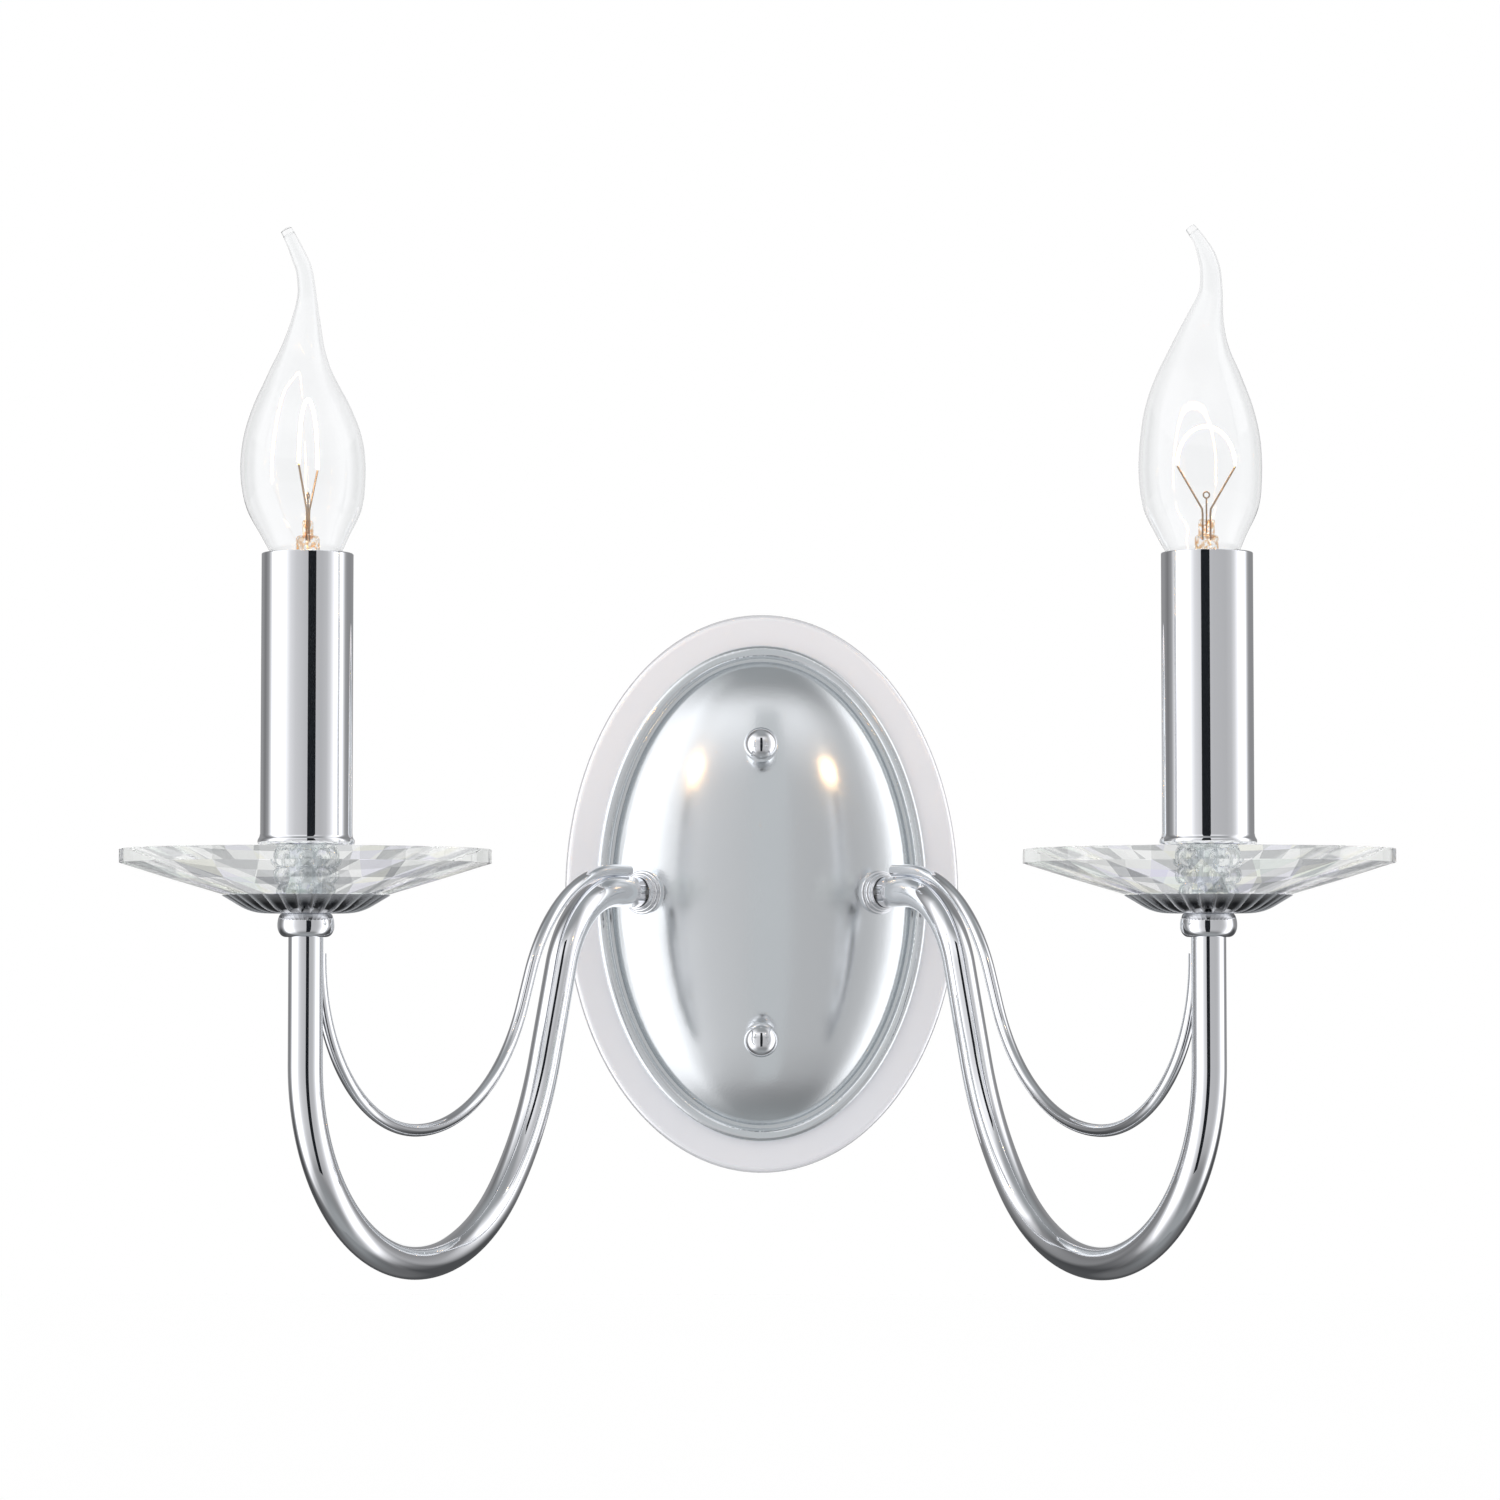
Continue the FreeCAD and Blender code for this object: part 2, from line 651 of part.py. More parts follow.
def fluted_pan():
    """Shallow pressed pan. Tapered flutes run up its underside and scallop its rim."""
    rim = pan_low + pan_rise
    floor = pan_low + pan_gauge
    bore = thread_bore + hole_play
    pan = turned(
        (bore, pan_low), (pan_bowl_radius, pan_low, pan_bend_radius), (pan_radius, rim),
        (pan_radius - pan_gauge, rim), (pan_bowl_radius - pan_gauge / 2, floor, pan_bend_radius - pan_gauge),
        (bore, floor))
    underside = Part.Wire(bent([
        (Vector(flute_start, 0, pan_low), 0), (Vector(pan_bowl_radius, 0, pan_low), pan_bend_radius),
        (Vector(pan_radius + 1, 0, rim + pan_rise / (pan_radius - pan_bowl_radius)), 0)]))
    pitch = 2 * math.pi / pan_flutes
    sections = []
    for point in underside.discretize(Number=6):
        share = (point.x - flute_start) / (pan_radius - flute_start)
        heading = Vector(1, 0, share * pan_rise / (pan_radius - pan_bowl_radius)).normalize()
        radius = point.x * pitch * flute_share
        below = Vector(heading.z, 0, -heading.x) * (radius - flute_depth * min(1, 0.3 + share))
        sections.append(Part.Wire(Part.makeCircle(radius, point + below, heading)))
    flute = Part.makeLoft(sections, True)
    return pan.cut([flute.rotated(origin, up, math.degrees(pitch) * k) for k in range(pan_flutes)])


def crystal_dish():
    """Cut crystal: facets below, a polished band round the rim and a smooth well above."""
    band_low = dish_low + dish_rise
    top = band_low + dish_band
    run = dish_radius - dish_foot_radius
    rings = [(dish_foot_radius, dish_low, 0)]
    for share, lean in ((0.36, 1), (0.68, 0)):
        swell = dish_bulge * math.sin(math.pi * share)
        rings.append((dish_foot_radius + run * share, dish_low + dish_rise * share - swell, lean))
    rings += [(dish_radius, band_low, 1), (dish_radius, top, 1)]
    floor = dish_low + dish_floor
    well = turned((0, floor), (dish_well_radius, floor, 2), (dish_radius - dish_lip, top),
                  (dish_radius - dish_lip, top + 1), (0, top + 1))
    bore = Part.makeCylinder(crystal_bore_radius, dish_floor + 2, Vector(0, 0, dish_low - 1))
    return faceted(dish_facets, rings).cut(well).cut(bore)


def crystal_spool():
    """Fluted crystal spool in three tiers."""
    top = spool_low + spool_height
    first = spool_low + spool_height * 0.4
    second = spool_low + spool_height * 0.72
    tiers = [(spool_low, first, spool_waist_radius), (first, second, spool_waist_radius),
             (second, top, spool_radius)]
    bore = crystal_bore_radius
    spool = turned(
        (bore, spool_low), (spool_foot_radius, spool_low), (spool_waist_radius, spool_low + 2, 1.5),
        (spool_waist_radius, first - 0.4, 0.6), (spool_waist_radius - 1.2, first, 0.3),
        (spool_waist_radius, first + 0.5, 0.6), (spool_waist_radius, second - 0.8, 0.6),
        (spool_waist_radius - 1.0, second - 0.2, 0.3), (spool_radius, second + 0.8, 1.0),
        (spool_radius, top - 0.4, 0.3), (spool_radius - 0.5, top), (bore, top))
    grooves = []
    for level, (low, high, radius) in enumerate(tiers):
        for k in range(spool_flutes):
            turn = (k + level / 2) * 2 * math.pi / spool_flutes
            reach = radius + spool_flute_radius - spool_flute_depth
            grooves.append(Part.makeCylinder(spool_flute_radius, high - low,
                                             Vector(reach * math.cos(turn), reach * math.sin(turn), low)))
    return spool.cut(grooves)


def sleeve_seat():
    """Dished ring whose beaded rim holds the sleeve."""
    inner = sleeve_radius + thread_play
    top = seat_low + seat_bead_height
    floor = seat_low + seat_gauge
    return turned(
        (thread_bore + hole_play, seat_low), (seat_bead_radius, seat_low, 0.5),
        (seat_bead_radius, seat_low + seat_bead_height * 0.62, 0.9), (inner + 0.1, top), (inner, top),
        (inner, floor), (thread_bore + hole_play, floor))


def stack_nut():
    nut = prism(stack_nut_flats, stack_nut_height, thread_bore)
    nut.translate(Vector(0, 0, stack_nut_low))
    return nut


def candle_sleeve():
    low = seat_low + seat_gauge + seat_play
    top = low + sleeve_length
    inner = sleeve_radius - sleeve_gauge
    rounding = sleeve_gauge * 0.45
    return turned((inner, low), (sleeve_radius, low), (sleeve_radius, top, rounding),
                  (inner, top, rounding))


shell_bore = cap_radius + 0.1
shell_radius = shell_bore + shell_gauge


def holder_body():
    """Moulded body: a threaded boss, a wiring chamber and the socket above its floor."""
    boss_top = holder_low + holder_boss_height
    chamber_low = boss_top + holder_wall
    chamber_top = chamber_low + holder_chamber
    top = socket_floor + holder_socket
    socket = shell_radius + thread_play
    chamber = holder_radius - holder_wall
    outside = Part.Face(outline(
        (thread_bore, holder_low), (holder_boss_radius, holder_low, 0.5), (holder_boss_radius, boss_top),
        (holder_radius, boss_top, 1), (holder_radius, top, 1), (socket, top), (socket, socket_floor),
        (0, socket_floor), (0, chamber_top), (chamber, chamber_top, 1), (chamber, chamber_low, 1),
        (thread_bore, chamber_low)))
    body = outside.revolve(origin, up, 360)
    for hand in (-1, 1):
        well = Part.makeCylinder(lead_radius + thread_play, lead_well, Vector(0, hand * lead_spread, chamber_top))
        body = body.cut(well)
    return body


def holder_shell():
    low = socket_floor + seat_play
    return turned((shell_bore, low), (shell_radius, low), (shell_radius, low + shell_length),
                  (shell_bore, low + shell_length))


def holder_contact():
    """Bent spring strip on the socket's floor that the lamp's contact presses on."""
    low = socket_floor + seat_play
    crown = lamp_low - seat_play
    outer = [(contact_reach, low), (contact_crown_radius, crown), (-contact_crown_radius, crown),
             (-contact_reach, low)]
    inner = [(-contact_reach + 1.0, low), (-contact_crown_radius + 0.3, crown - contact_gauge),
             (contact_crown_radius - 0.3, crown - contact_gauge), (contact_reach - 1.0, low)]
    corners = [Vector(x, -contact_width / 2, z) for x, z in outer + inner]
    return Part.Face(Part.makePolygon(corners + corners[:1])).extrude(Vector(0, contact_width, 0))


# A lamp, made about the Z axis at its real height

def lamp_cap():
    low = lamp_low + cap_start
    inner = cap_radius - cap_gauge
    flare = cap_rim - cap_flare_height
    return turned(
        (inner, low), (cap_radius, low, 0.3), (cap_radius, flare, 0.5), (cap_flare_radius, flare + 1.5, 0.5),
        (cap_flare_radius, cap_rim), (cap_flare_radius - cap_gauge, cap_rim),
        (cap_flare_radius - cap_gauge, flare + 1.7), (inner, flare + 0.2))


def cap_insulator():
    low = lamp_low + 1.2
    top = lamp_low + cap_start
    inner = cap_radius - cap_gauge - thread_play
    return turned((contact_radius, low), (contact_radius + 1.2, low), (cap_radius - 0.4, top - seat_play),
                  (inner, top - seat_play), (inner, top + 1.5), (contact_radius, top + 1.5))


def cap_contact():
    return turned((0, lamp_low), (contact_radius, lamp_low, 0.6), (contact_radius, lamp_low + 1.2 - seat_play),
                  (contact_radius - thread_play, lamp_low + 1.2 - seat_play),
                  (contact_radius - thread_play, lamp_low + 3), (0, lamp_low + 3))


neck_glass_radius = cap_flare_radius - cap_gauge - thread_play
glass_low = cap_rim - glass_sink


def glass_form(sections, inset, sink):
    """Solid of the lamp's outer or inner form: a straight neck and a loft through the sections."""
    neck_top = Vector(0, 0, cap_rim + neck_length)
    neck = Part.makeCylinder(neck_glass_radius - inset, glass_sink + neck_length + sink,
                             Vector(0, 0, glass_low - sink))
    centres = [neck_top] + [Vector(sway, 0, cap_rim + rise) for rise, radius, sway in sections]
    radii = [neck_glass_radius] + [radius for rise, radius, sway in sections]
    rings = []
    for index, (centre, radius) in enumerate(zip(centres, radii)):
        heading = up
        if radius < leaning_radius:
            heading = centres[min(index + 1, len(centres) - 1)] - centres[index - 1]
        rings.append(Part.Wire(Part.makeCircle(radius - inset, centre, heading)))
    return neck.fuse(Part.makeLoft(rings, True))


def lamp_glass(lamp):
    sections = lamp["glass"]
    rise, radius, sway = sections[-1]
    end = Part.makeSphere(radius * 0.99, Vector(sway, 0, cap_rim + rise))
    outside = glass_form(sections, 0, 0).fuse(end)
    return outside.cut(glass_form(sections[:-solid_sections], glass_wall, 1))


def lamp_stem():
    """Flared glass tube with a flat press at its top."""
    flare = neck_glass_radius - glass_wall - thread_play
    top = glass_low + stem_height
    tube = turned((0, glass_low + 0.8), (flare - 0.6, glass_low + 0.8), (flare - 0.4, glass_low),
                  (flare, glass_low), (stem_radius, glass_low + 5, 3), (stem_radius, top, 1), (0, top))
    press = Part.makeBox(stem_press_width, stem_press_gauge, stem_press_height,
                         Vector(-stem_press_width / 2, -stem_press_gauge / 2, top - 0.5))
    return tube.fuse(press.makeFillet(0.6, press.Edges)).removeSplitter()


wire_low = glass_low + stem_height + stem_press_height - 0.5 + seat_play


def lamp_wires():
    """Two leads that spread to the filament's ends, and an anchor with a loop between them."""
    wires = []
    for hand in (-1, 1):
        root = Vector(hand * stem_press_width / 4, 0, wire_low)
        tip = Vector(hand * lead_wire_spread, 0, wire_low + lead_wire_rise)
        wires.append(swept(bent([(root, 0), (root + up * 2, 1.5), (tip, 0)]), wire_radius))
    anchor = Part.makeCylinder(wire_radius, anchor_rise, Vector(0, 0, wire_low))
    loop = Part.makeTorus(anchor_loop_radius, wire_radius,
                          Vector(0, 0, wire_low + anchor_rise + anchor_loop_radius), Vector(0, 1, 0))
    return Part.makeCompound(wires + [anchor.fuse(loop)])


def lamp_filament():
    """Coiled filament, as a bar of its outer size, arched between the tips of the leads."""
    low = wire_low + lead_wire_rise + filament_radius + seat_play
    ends = [Vector(hand * lead_wire_spread, 0, low) for hand in (-1, 1)]
    return swept([Part.Arc(ends[0], Vector(0, 0, low + filament_arch), ends[1]).toShape()], filament_radius)


# Putting it together

def build():
    """Every node's name and solid."""
    nodes = {
        "wall_bracket": wall_bracket(),
        "canopy_screws": canopy_screws(),
        "lock_nuts": lock_nuts(),
        "earth_screw": earth_screw(),
        "terminal_block": terminal_block(),
        "terminal_clamps": terminal_clamps(),
        "terminal_screws": terminal_screws(),
        "back_plate": back_plate(),
        "canopy_dome": canopy_dome(),
        "top_ball_nut": ball_nut(1),
        "bottom_ball_nut": ball_nut(-1),
    }
    arm_makers = {"arm_tube": arm_tube, "accent_rod": accent_rod, "arm_collar": arm_collar,
                  "arm_washer": arm_washer, "arm_nut": arm_nut, "arm_leads": arm_leads}
    stacked = {"knuckle": knuckle(), "fluted_pan": fluted_pan(), "crystal_dish": crystal_dish(),
               "crystal_spool": crystal_spool(), "sleeve_seat": sleeve_seat(), "stack_nut": stack_nut(),
               "candle_sleeve": candle_sleeve(), "holder_body": holder_body(),
               "holder_shell": holder_shell(), "holder_contact": holder_contact(),
               "lamp_cap": lamp_cap(), "cap_insulator": cap_insulator(), "cap_contact": cap_contact(),
               "lamp_stem": lamp_stem(), "lamp_wires": lamp_wires(), "lamp_filament": lamp_filament()}
    for name, side in sides.items():
        for piece, maker in arm_makers.items():
            nodes[name + "_" + piece] = maker(side)
        cup = in_arm_frame(Part.Vertex(Vector(cup_reach, 0, 0)), side).Point
        lamp = lamp_shapes[name]
        pieces = dict(stacked, lamp_glass=lamp_glass(lamp))
        turns = {"holder_body": -side * arm_angle}
        for piece in ("lamp_stem", "lamp_wires", "lamp_filament"):
            turns[piece] = lamp["spin"]
        for piece, shape in pieces.items():
            turned_shape = shape.rotated(origin, up, turns.get(piece, 0))
            nodes[name + "_" + piece] = turned_shape.translated(cup)
    return nodes


os.makedirs("parts", exist_ok=True)
nodes = build()
for name, shape in nodes.items():
    shape.exportStep(os.path.join("parts", name + ".step"))
whole = Part.makeCompound(list(nodes.values())).BoundBox
print("nodes", len(nodes))
print("box", [round(v, 1) for v in (whole.XMin, whole.XMax, whole.YMin, whole.YMax, whole.ZMin, whole.ZMax)])
print("arm angle", round(arm_angle, 2), "cup reach", round(cup_reach, 1), "knuckle", round(knuckle_low, 1))
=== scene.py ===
"""Looks of a double arm wall sconce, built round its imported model.

Metres, in the model's own frame: +Z is up, +X is to the right as seen from the room, the wall is
the plane Y = 0 and the room is on its -Y side."""

import json
import math

import bmesh
import bpy
from mathutils import Matrix, Vector


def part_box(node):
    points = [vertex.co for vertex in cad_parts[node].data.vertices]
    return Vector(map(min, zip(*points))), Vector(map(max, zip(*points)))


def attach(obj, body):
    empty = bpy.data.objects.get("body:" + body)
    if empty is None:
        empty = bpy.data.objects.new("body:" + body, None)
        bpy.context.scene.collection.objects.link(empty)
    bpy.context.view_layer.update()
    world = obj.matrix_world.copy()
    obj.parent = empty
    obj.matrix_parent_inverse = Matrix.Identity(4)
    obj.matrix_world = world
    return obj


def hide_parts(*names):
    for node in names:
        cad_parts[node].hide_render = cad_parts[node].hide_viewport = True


bl_info = {
    "name": "Double arm wall sconce",
    "version": (1, 0, 0),
    "blender": (4, 5, 0),
    "location": "View3D > Sidebar > Sconce",
    "description": "Builds the looks of a chrome and crystal wall sconce round its packed model",
    "category": "Object",
}

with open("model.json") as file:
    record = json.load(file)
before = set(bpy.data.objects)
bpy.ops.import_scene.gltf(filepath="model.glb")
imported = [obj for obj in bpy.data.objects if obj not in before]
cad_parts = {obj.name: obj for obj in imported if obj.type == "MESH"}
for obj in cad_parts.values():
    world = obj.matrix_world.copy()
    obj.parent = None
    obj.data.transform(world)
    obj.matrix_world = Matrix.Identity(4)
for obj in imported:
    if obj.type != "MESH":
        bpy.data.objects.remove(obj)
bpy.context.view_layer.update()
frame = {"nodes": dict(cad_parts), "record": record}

MM = 0.001
SIDES = {"left": -1, "right": 1}
UP = Vector((0, 0, 1))
FULL_TURN = 2 * math.pi


# Sizes and colours that a user would change

def length(name, description, default):
    return bpy.props.FloatProperty(name=name, description=description, default=default, min=0.0,
                                   unit="LENGTH", precision=5)


def angle(name, description, degrees):
    return bpy.props.FloatProperty(name=name, description=description, min=0.0,
                                   default=math.radians(degrees), subtype="ANGLE", unit="ROTATION")


def number(name, description, default):
    return bpy.props.IntProperty(name=name, description=description, default=default, min=3)


def amount(name, description, default):
    return bpy.props.FloatProperty(name=name, description=description, default=default, min=0.0)


def colour(name, description, default):
    return bpy.props.FloatVectorProperty(name=name, description=description, default=default,
                                         size=3, min=0.0, max=1.0, subtype="COLOR")


class SconceArmSizes(bpy.types.PropertyGroup):
    direction: angle("Direction", "Turn of each arm away from the wall's plane", 60.78)
    tube_radius: length("Tube radius", "Outer radius of an arm", 0.005)
    tube_wall: length("Tube wall", "Wall of an arm", 0.001)
    tube_tail: length("Tube tail", "Length of an arm inside the canopy", 0.007)
    lead: length("Lead", "Straight run of an arm out of its collar", 0.0175)
    bend_radius: length("Bend radius", "Bend of an arm beside the canopy", 0.034)
    drop_angle: angle("Drop angle", "Slope of an arm after that bend", 72)
    drop: length("Drop", "Straight run down", 0.031)
    sweep_radius: length("Sweep radius", "Wide sweep at the back of the bowl", 0.108)
    sweep_angle: angle("Sweep angle", "How far the wide sweep turns", 24)
    bowl_radius: length("Bowl radius", "Bowl at the lowest point", 0.060)
    leg: length("Leg", "Straight run up to the knuckle", 0.0365)
    rod_radius: length("Rod radius", "Radius of an accent rod", 0.0019)
    rod_start: length("Rod start", "From the dome to the rod's end", 0.0095)
    rod_lead: length("Rod lead", "Straight run of the rod above the arm", 0.008)
    rod_bend_radius: length("Rod bend radius", "First bend of the rod", 0.055)
    rod_drop: length("Rod drop", "Straight run between its two sweeps", 0.011)
    rod_bowl_radius: length("Rod bowl radius", "Last bend of the rod", 0.051)
    rod_tail: length("Rod tail", "Straight run beside the leg", 0.0015)
    rod_top_gap: length("Rod top gap", "From the rod's end up to the knuckle", 0.00466)
    seat_play: length("Seat play", "Play between two faces that rest on each other", 0.00002)


class SconceCupSizes(bpy.types.PropertyGroup):
    knuckle_radius: length("Knuckle radius", "Widest part of the knuckle", 0.00815)
    knuckle_foot_radius: length("Knuckle foot radius", "Foot of the knuckle", 0.0056)
    knuckle_crown_radius: length("Knuckle crown radius", "Top of the knuckle", 0.0067)
    bore_radius: length("Bore radius", "Bore of the knuckle", 0.00504)
    wide_bore_radius: length("Wide bore radius", "Bore of the pan and the seat", 0.00534)
    pan_radius: length("Pan radius", "Rim of the fluted pan", 0.024)
    pan_bowl_radius: length("Pan bowl radius", "Where the pan turns up to its rim", 0.0155)
    pan_bend_radius: length("Pan bend radius", "Roundness of that turn", 0.015)
    pan_gauge: length("Pan gauge", "Thickness of the pan", 0.0013)
    pan_flutes: number("Pan flutes", "Flutes round the pan", 30)
    flute_start: length("Flute start", "Where the flutes begin", 0.0086)
    # The painted shade in the flutes fades in over this distance
    flute_fade: length("Flute fade", "How far out the flutes are still bright", 0.0055)
    flute_depth: length("Flute depth", "Depth of a flute at the rim", 0.00085)
    scallop: length("Scallop", "How far the rim hangs down at the middle of a flute", 0.0006)
    seat_bead_radius: length("Seat bead radius", "Bead round the sleeve's foot", 0.01395)
    seat_bead_swell: length("Seat bead swell", "How far the bead swells outwards", 0.001)
    seat_bead_rise: length("Seat bead rise", "Half the height of the bead", 0.00125)
    seat_gauge: length("Seat gauge", "Thickness of the seat", 0.001)
    sleeve_radius: length("Sleeve radius", "Outer radius of the candle sleeve", 0.0132)


class SconceCrystalSizes(bpy.types.PropertyGroup):
    dish_facets: number("Dish facets", "Facets round the dish", 24)
    dish_foot_radius: length("Dish foot radius", "Foot of the dish", 0.008)
    dish_radius: length("Dish radius", "Rim of the dish", 0.0532)
    dish_band: length("Dish band", "Height of the polished band", 0.0039)
    dish_lip: length("Dish lip", "Width of the rim's top", 0.0038)
    dish_floor: length("Dish floor", "Thickness of the dish's floor", 0.003)
    dish_well_radius: length("Dish well radius", "Flat of the well", 0.0125)
    dish_bulge: length("Dish bulge", "Swell of the underside", 0.0005)
    bore_radius: length("Bore radius", "Bore of the dish and the spool", 0.0054)
    spool_radius: length("Spool radius", "Top tier of the spool", 0.0102)
    spool_middle_radius: length("Spool middle radius", "Middle tier of the spool", 0.0096)
    spool_low_radius: length("Spool low radius", "Lowest tier of the spool", 0.0086)
    spool_foot_radius: length("Spool foot radius", "Foot of the spool", 0.0068)
    spool_flutes: number("Spool flutes", "Flutes round each tier", 12)
    spool_flute_depth: length("Spool flute depth", "Depth of a flute", 0.00128)


class SconceLampSizes(bpy.types.PropertyGroup):
    glass_wall: length("Glass wall", "Wall of the lamp's glass", 0.0006)
    neck_radius: length("Neck radius", "Glass in the cap", 0.00701)
    glass_sink: length("Glass sink", "How far the glass sits inside the cap", 0.0015)
    neck_length: length("Neck length", "Straight neck above the cap's rim", 0.003)
    stem_radius: length("Stem radius", "Glass tube inside the lamp", 0.0034)
    stem_height: length("Stem height", "From the foot of the glass", 0.0218)
    press_width: length("Press width", "Flat press on the stem", 0.0046)
    press_gauge: length("Press gauge", "Thickness of the press", 0.0022)
    press_height: length("Press height", "Height of the press", 0.0045)
    wire_radius: length("Wire radius", "Lead wires", 0.0003)
    loop_radius: length("Loop radius", "Loop of the support wire", 0.0009)
    wire_spread: length("Wire spread", "From the middle to each end of the filament", 0.0085)
    coil_radius: length("Coil radius", "Outer radius of the coiled filament", 0.00045)
    coil_wire_radius: length("Coil wire radius", "Wire of the filament", 0.00013)
    coil_pitch: length("Coil pitch", "Distance between the filament's turns", 0.0005)


class SconceColours(bpy.types.PropertyGroup):
    chrome: colour("Chrome", "Bright plated metal", (0.92, 0.93, 0.95))
    chrome_shade: colour("Chrome shade", "Faint haze on it", (0.78, 0.80, 0.83))
    satin: colour("Satin chrome", "Dome of the canopy", (0.86, 0.89, 0.905))
    plate: colour("Plate", "Back plate", (0.965, 0.965, 1.0))
    # Painted shade: the dark colour that the pan's flutes are given
    flutes: colour("Flutes", "Depth of the pan's flutes", (0.028, 0.03, 0.035))
    crystal: colour("Crystal", "Tint of the spools", (0.97, 0.985, 0.98))
    dish: colour("Dish", "Tint of the dishes", (0.99, 0.992, 0.993))
    lamp_glass: colour("Lamp glass", "Tint of the lamps", (0.972, 0.976, 0.98))
    # Painted light: the warm glints painted into the stems
    glitter: colour("Glitter", "Warm light in the lamps' stems", (0.84, 0.58, 0.33))
    glow: colour("Glow", "Light of the filaments", (1.0, 0.62, 0.30))
    glow_strength: amount("Glow strength", "Strength of the filaments' light", 260.0)
    floor: colour("Floor", "Pale floor of the stage", (1.0, 1.0, 1.0))


SETTINGS = {"sconce_arms": SconceArmSizes, "sconce_cups": SconceCupSizes,
            "sconce_crystal": SconceCrystalSizes, "sconce_lamps": SconceLampSizes,
            "sconce_colours": SconceColours}

# The two lamps are drawn by hand and differ. Each section of the glass is its height above the
# cap's rim, its radius and how far it sways to the right, in millimetres. The spin is how far the
# wires are turned, and the arch is the filament's height.
LAMP_SHAPES = {
    "left": {"spin": 78, "arch": 19.0, "glass": [
        (12, 8.9, -0.3), (19, 12.1, -0.7), (28, 16.5, -1.1), (38, 18.0, -1.4), (48, 17.2, -1.5),
        (57, 14.3, -1.8), (66, 9.9, -2.2), (74, 6.5, -1.6), (82, 4.3, -0.9), (90, 2.75, -0.6),
        (97, 2.4, -1.4), (101.5, 2.2, -3.1), (105.5, 1.9, -4.9), (108.8, 1.7, -6.6)]},
    "right": {"spin": 8, "arch": 11.0, "glass": [
        (12, 9.1, -0.8), (19, 12.4, -1.5), (28, 16.5, -1.6), (38, 17.7, -1.8), (48, 17.2, -1.8),
        (57, 15.5, -2.1), (66, 12.3, -2.2), (74, 8.6, -1.6), (82, 5.6, -0.2), (90, 3.5, 1.5),
        (97, 2.9, 1.4), (101.5, 2.5, 0.2), (105.5, 1.8, -1.7), (109, 1.5, -4.2)]},
}


# Node trees

SOCKET_OF = {bool: "Bool", int: "Int", float: "Float"}


def feed(tree, sockets, values):
    """Gives each socket its number or colour, or links it to the output of another node."""
    for key, value in dict(values).items():
        if isinstance(value, bpy.types.NodeSocket):
            tree.links.new(value, sockets[key])
        elif sockets[key].type == "RGBA":
            sockets[key].default_value = (*value, 1)
        else:
            sockets[key].default_value = value


def add(tree, kind, inputs=(), **settings):
    """Adds a shader or geometry node. Its kind is the end of the node type's name."""
    known = hasattr(bpy.types, "ShaderNode" + kind)
    node = tree.nodes.new(("ShaderNode" if known else "GeometryNode") + kind)
    for name, value in settings.items():
        setattr(node, name, value)
    feed(tree, node.inputs, inputs)
    return node


def new_group(name, kind, inputs, outputs):
    """Node group, and the sockets inside it. An input has its default, or else its type."""
    group = bpy.data.node_groups.new(name, kind)
    for label, value in inputs.items():
        typed = isinstance(value, str)
        socket = "NodeSocket" + (value if typed else SOCKET_OF[type(value)])
        made = group.interface.new_socket(label, in_out="INPUT", socket_type=socket)
        if not typed:
            made.default_value = value
    for label, socket in outputs.items():
        group.interface.new_socket(label, in_out="OUTPUT", socket_type="NodeSocket" + socket)
    return (group, group.nodes.new("NodeGroupInput").outputs,
            group.nodes.new("NodeGroupOutput").inputs)


def shared(maker):
    """Node group that a function makes at its first use, under the function's own name."""
    name = maker.__name__.replace("_", " ").capitalize()
    return bpy.data.node_groups.get(name) or maker(name)


def placed(tree, maker, values):
    """Outputs of a shared effect in a material."""
    return add(tree, "Group", values, node_tree=shared(maker)).outputs


def maths(tree, operation, first, second=0.0, clamp=False):
    inputs = {0: first, 1: second}
    return add(tree, "Math", inputs, operation=operation, use_clamp=clamp).outputs["Value"]


def plus(tree, first, second):
    return maths(tree, "ADD", first, second)


def minus(tree, first, second):
    return maths(tree, "SUBTRACT", first, second)


def times(tree, first, second):
    return maths(tree, "MULTIPLY", first, second)


def ratio(tree, first, second):
    return maths(tree, "DIVIDE", first, second)


def larger(tree, first, second):
    return maths(tree, "MAXIMUM", first, second)


def noise(tree, place, size, detail):
    scale = ratio(tree, 1.0, size)
    inputs = {"Vector": place, "Scale": scale, "Detail": detail}
    return add(tree, "TexNoise", inputs).outputs["Fac"]


def blended(tree, factor, first, second, mode="MIX"):
    inputs = {"Factor": factor, "A": first, "B": second}
    return add(tree, "Mix", inputs, data_type="RGBA", blend_type=mode).outputs["Result"]


def tinted(tree, first, second):
    return blended(tree, 1.0, first, second, "MULTIPLY")


def scaled(tint, share):
    return tuple(value * share for value in tint)


# Effects that several materials share

def plated_metal(name):
    """Plated metal: a faint haze in its colour and gloss, and a fine grain in its height."""
    group, given, made = new_group(name, "ShaderNodeTree", {
        "Colour": "Color", "Haze colour": "Color", "Haze": 0.1, "Roughness": 0.1,
        "Roughness spread": 0.03, "Haze size": 0.02, "Grain size": 0.0005, "Grain height": 0.0},
        {"Colour": "Color", "Roughness": "Float", "Height": "Float"})
    place = add(group, "TexCoord").outputs["Object"]
    haze = noise(group, place, given["Haze size"], 3.0)
    grain = noise(group, place, given["Grain size"], 1.0)
    share = times(group, haze, given["Haze"])
    swing = times(group, minus(group, haze, 0.5), given["Roughness spread"])
    feed(group, made, {
        "Colour": blended(group, share, given["Colour"], given["Haze colour"]),
        "Roughness": plus(group, given["Roughness"], swing),
        "Height": times(group, grain, given["Grain height"])})
    return group


